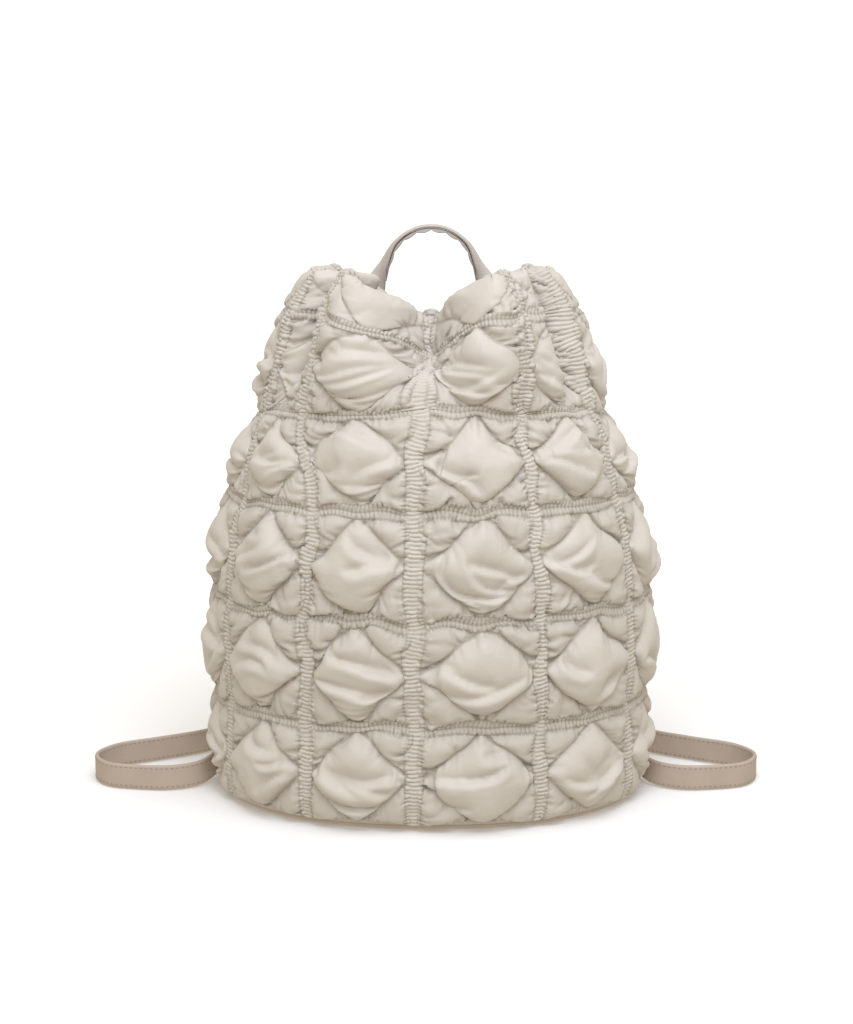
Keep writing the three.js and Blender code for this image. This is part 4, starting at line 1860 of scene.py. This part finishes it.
@dataclass(frozen=True)
class ThreadFinish:
    """Twisted sewing thread, close to the leather in colour."""

    name: str
    colour: Colour = (0.34, 0.265, 0.215, 1.0)
    deep: Colour = (0.25, 0.19, 0.15, 1.0)
    twist_noise: Span = (2600.0, 1.0)
    twist: Span = (0.35, 0.65)
    roughness: float = 0.6
    relief: Span = (0.0002, 0.4)

    def make(self) -> Material:
        """Makes the material.

        Returns:
            The finished material.
        """
        shader = Shader.of_material(self.name)
        twist = shader.noise(*self.twist_noise)
        return shader.surface_of({
            "Base Color": shader.blend(twist.step(*self.twist), self.deep, self.colour),
            "Roughness": self.roughness,
            "Normal": shader.bump(twist, *self.relief),
        })


@dataclass
class Studio:
    """Pale floor, soft lights and the camera at the photograph's angle."""

    camera_place: Place = (-0.003, -1.87, 0.64)
    camera_pitch: float = 13.88
    lens: float = 106.69
    sensor: float = 36.0
    sight: float = 50.0
    floor_size: float = 24.0
    floor_cells: int = 4
    floor_drop: float = 0.0003
    floor_noise: Span = (3.0, 1.0)
    floor_tones: Span = (0.93, 0.94)
    floor_roughness: float = 0.9
    floor_glow: float = 0.3
    glow_from: Span = (0.2, 0.75)
    world_light: float = 0.71
    backdrop_light: float = 1.6
    world_colour: Colour = (1.0, 0.93, 0.79, 1.0)
    lamp_colour: Place = (0.811, 0.871, 1.0)
    sun_place: Place = (0.04, -0.9, 0.85)
    sun_spread: float = 50.0
    sun_strength: float = 1.45
    panel_place: Place = (0.15, -0.4, 1.3)
    panel_size: float = 1.0
    panel_power: float = 7.4

    def build(self) -> None:
        """Makes the camera, the lights and the floor."""
        self._camera()
        self._floor()
        scene = bpy.context.scene
        scene.view_settings.view_transform = "Standard"
        scene.view_settings.look = "None"
        self._world()
        sun = self._lamp("key", "SUN", self.sun_place, self.sun_strength)
        sun.angle = math.radians(self.sun_spread)
        panel = self._lamp("crown", "AREA", self.panel_place, self.panel_power)
        panel.size = self.panel_size

    def _world(self) -> None:
        """Makes a plain backdrop that looks white and lights the bag softly from all round."""
        shader = Shader(bpy.data.worlds.new("studio_white"), "Background")
        seen = shader.node("ShaderNodeLightPath", {}, {}, "Is Camera Ray")
        levels = {"Value": seen, "To Min": self.world_light, "To Max": self.backdrop_light}
        strength = shader.node("ShaderNodeMapRange", {}, levels)
        bpy.context.scene.world = shader.surface_of({"Color": self.world_colour, "Strength": strength})

    def _camera(self) -> None:
        """Makes the camera."""
        data = bpy.data.cameras.new("photo_camera")
        data.sensor_fit = "VERTICAL"
        data.sensor_height = self.sensor
        data.lens = self.lens
        data.clip_end = self.sight
        camera = bpy.data.objects.new("photo_camera", data)
        camera.location = self.camera_place
        camera.rotation_euler = (math.radians(90 - self.camera_pitch), 0.0, 0.0)
        bpy.context.scene.collection.objects.link(camera)
        bpy.context.scene.camera = camera

    def _floor(self) -> None:
        """Makes the floor, which glows more and more away from the bag until it looks white."""
        bm = bmesh.new()
        cells = self.floor_cells
        bmesh.ops.create_grid(bm, x_segments=cells, y_segments=cells, size=self.floor_size / 2)
        bmesh.ops.translate(bm, vec=(0, 0, -self.floor_drop), verts=bm.verts)
        floor = Mesher.finish("studio_floor", bm)
        shader = Shader.of_material("studio_floor_paper")
        dark, light, black, white = ((tone, tone, tone, 1.0) for tone in (*self.floor_tones, 0.0, 1.0))
        away = shader.node("ShaderNodeVectorMath", {"operation": "LENGTH"}, {0: shader.place()}, "Value")
        paper = shader.surface_of({
            "Base Color": shader.blend(shader.noise(*self.floor_noise), dark, light),
            "Roughness": self.floor_roughness,
            "Specular IOR Level": 0.0,
            "Emission Color": shader.blend(away.step(*self.glow_from), black, white),
            "Emission Strength": self.floor_glow,
        })
        floor.data.materials.append(paper)
        floor.visible_diffuse = False
        floor.visible_glossy = False

    def _lamp(self, name: str, kind: str, place: Place, power: float) -> bpy.types.Light:
        """Makes one soft light that looks at the bag.

        Args:
            name: Its name.
            kind: Blender's kind of light.
            place: Its middle, or for a sun the way to it.
            power: Its power in watts, or for a sun the light on a surface that faces it.

        Returns:
            The light's data.
        """
        data = bpy.data.lights.new(name, kind)
        data.color = self.lamp_colour
        data.energy = power
        lamp = bpy.data.objects.new(name, data)
        lamp.location = place
        lamp.rotation_euler = (-Vector(place)).to_track_quat("-Z", "Y").to_euler()
        bpy.context.scene.collection.objects.link(lamp)
        return data


def main() -> None:
    """Builds the backpack's looks in order and reports each piece."""
    logging.basicConfig(level=logging.INFO, format="%(name)s: %(message)s")
    Studio().build()
    nylon = NylonFinish("satin_nylon").make()
    gathers = NylonFinish("gathered_nylon", is_band=True).make()
    # cross bands get more painted shade, as if shaded by the triangles that hang over them
    cross_gathers = NylonFinish("cross_gathered_nylon", is_band=True, painted_shade=0.25).make()
    leather = LeatherFinish("taupe_leather").make()
    grey, pale_grey = (0.535, 0.478, 0.442, 1.0), (0.555, 0.497, 0.46, 1.0)
    handle_leather = LeatherFinish("grey_leather", grey, pale_grey).make()
    thread = ThreadFinish("taupe_thread").make()
    wall = WallShape()
    cloth = QuiltCloth(wall)
    cloth.make(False)
    BasePanel().build(leather)
    QuiltedWall(wall, cloth).build(nylon)
    upright = SmockedBands(
        cloth, Run.UPRIGHT, pitch=2.63, lane_steps=10,
        narrow=4.9, wide=9.5, stitch_lines=(-4.4, 4.4), lift=0.6,
    )
    upright.build("upright_smocking_front", FRONT_SEAMS, (0, BODY_ROWS), gathers)
    upright.build("upright_smocking_back", BACK_SEAMS, (0, BODY_ROWS), gathers)
    gathered = SmockedBands(
        cloth, Run.UPRIGHT, pitch=2.63, lane_steps=14,
        narrow=9.0, wide=13.5, stitch_lines=(-7.6, 7.6), lift=0.7,
    )
    gathered.build("upright_smocking_collar", range(COLUMNS), (BODY_ROWS, COLLAR_BAND_TOP), gathers)
    cross = SmockedBands(
        cloth, Run.CROSS, pitch=2.7, lane_steps=8,
        narrow=4.8, wide=7.5, stitch_lines=(-4.0, 0.0, 4.0), lift=0.7,
    )
    all_round = (0, COLUMNS)
    cross.build("cross_smocking_body", range(1, BODY_ROWS + 1), all_round, cross_gathers)
    cross.build("cross_smocking_collar", (BODY_ROWS + 1,), all_round, cross_gathers)
    CarryHandle(wall).build(handle_leather)
    for side, spread in STRAP_SPREADS:
        ShoulderStrap(wall, side, spread).build(leather, thread)


if __name__ == "__main__":
    main()
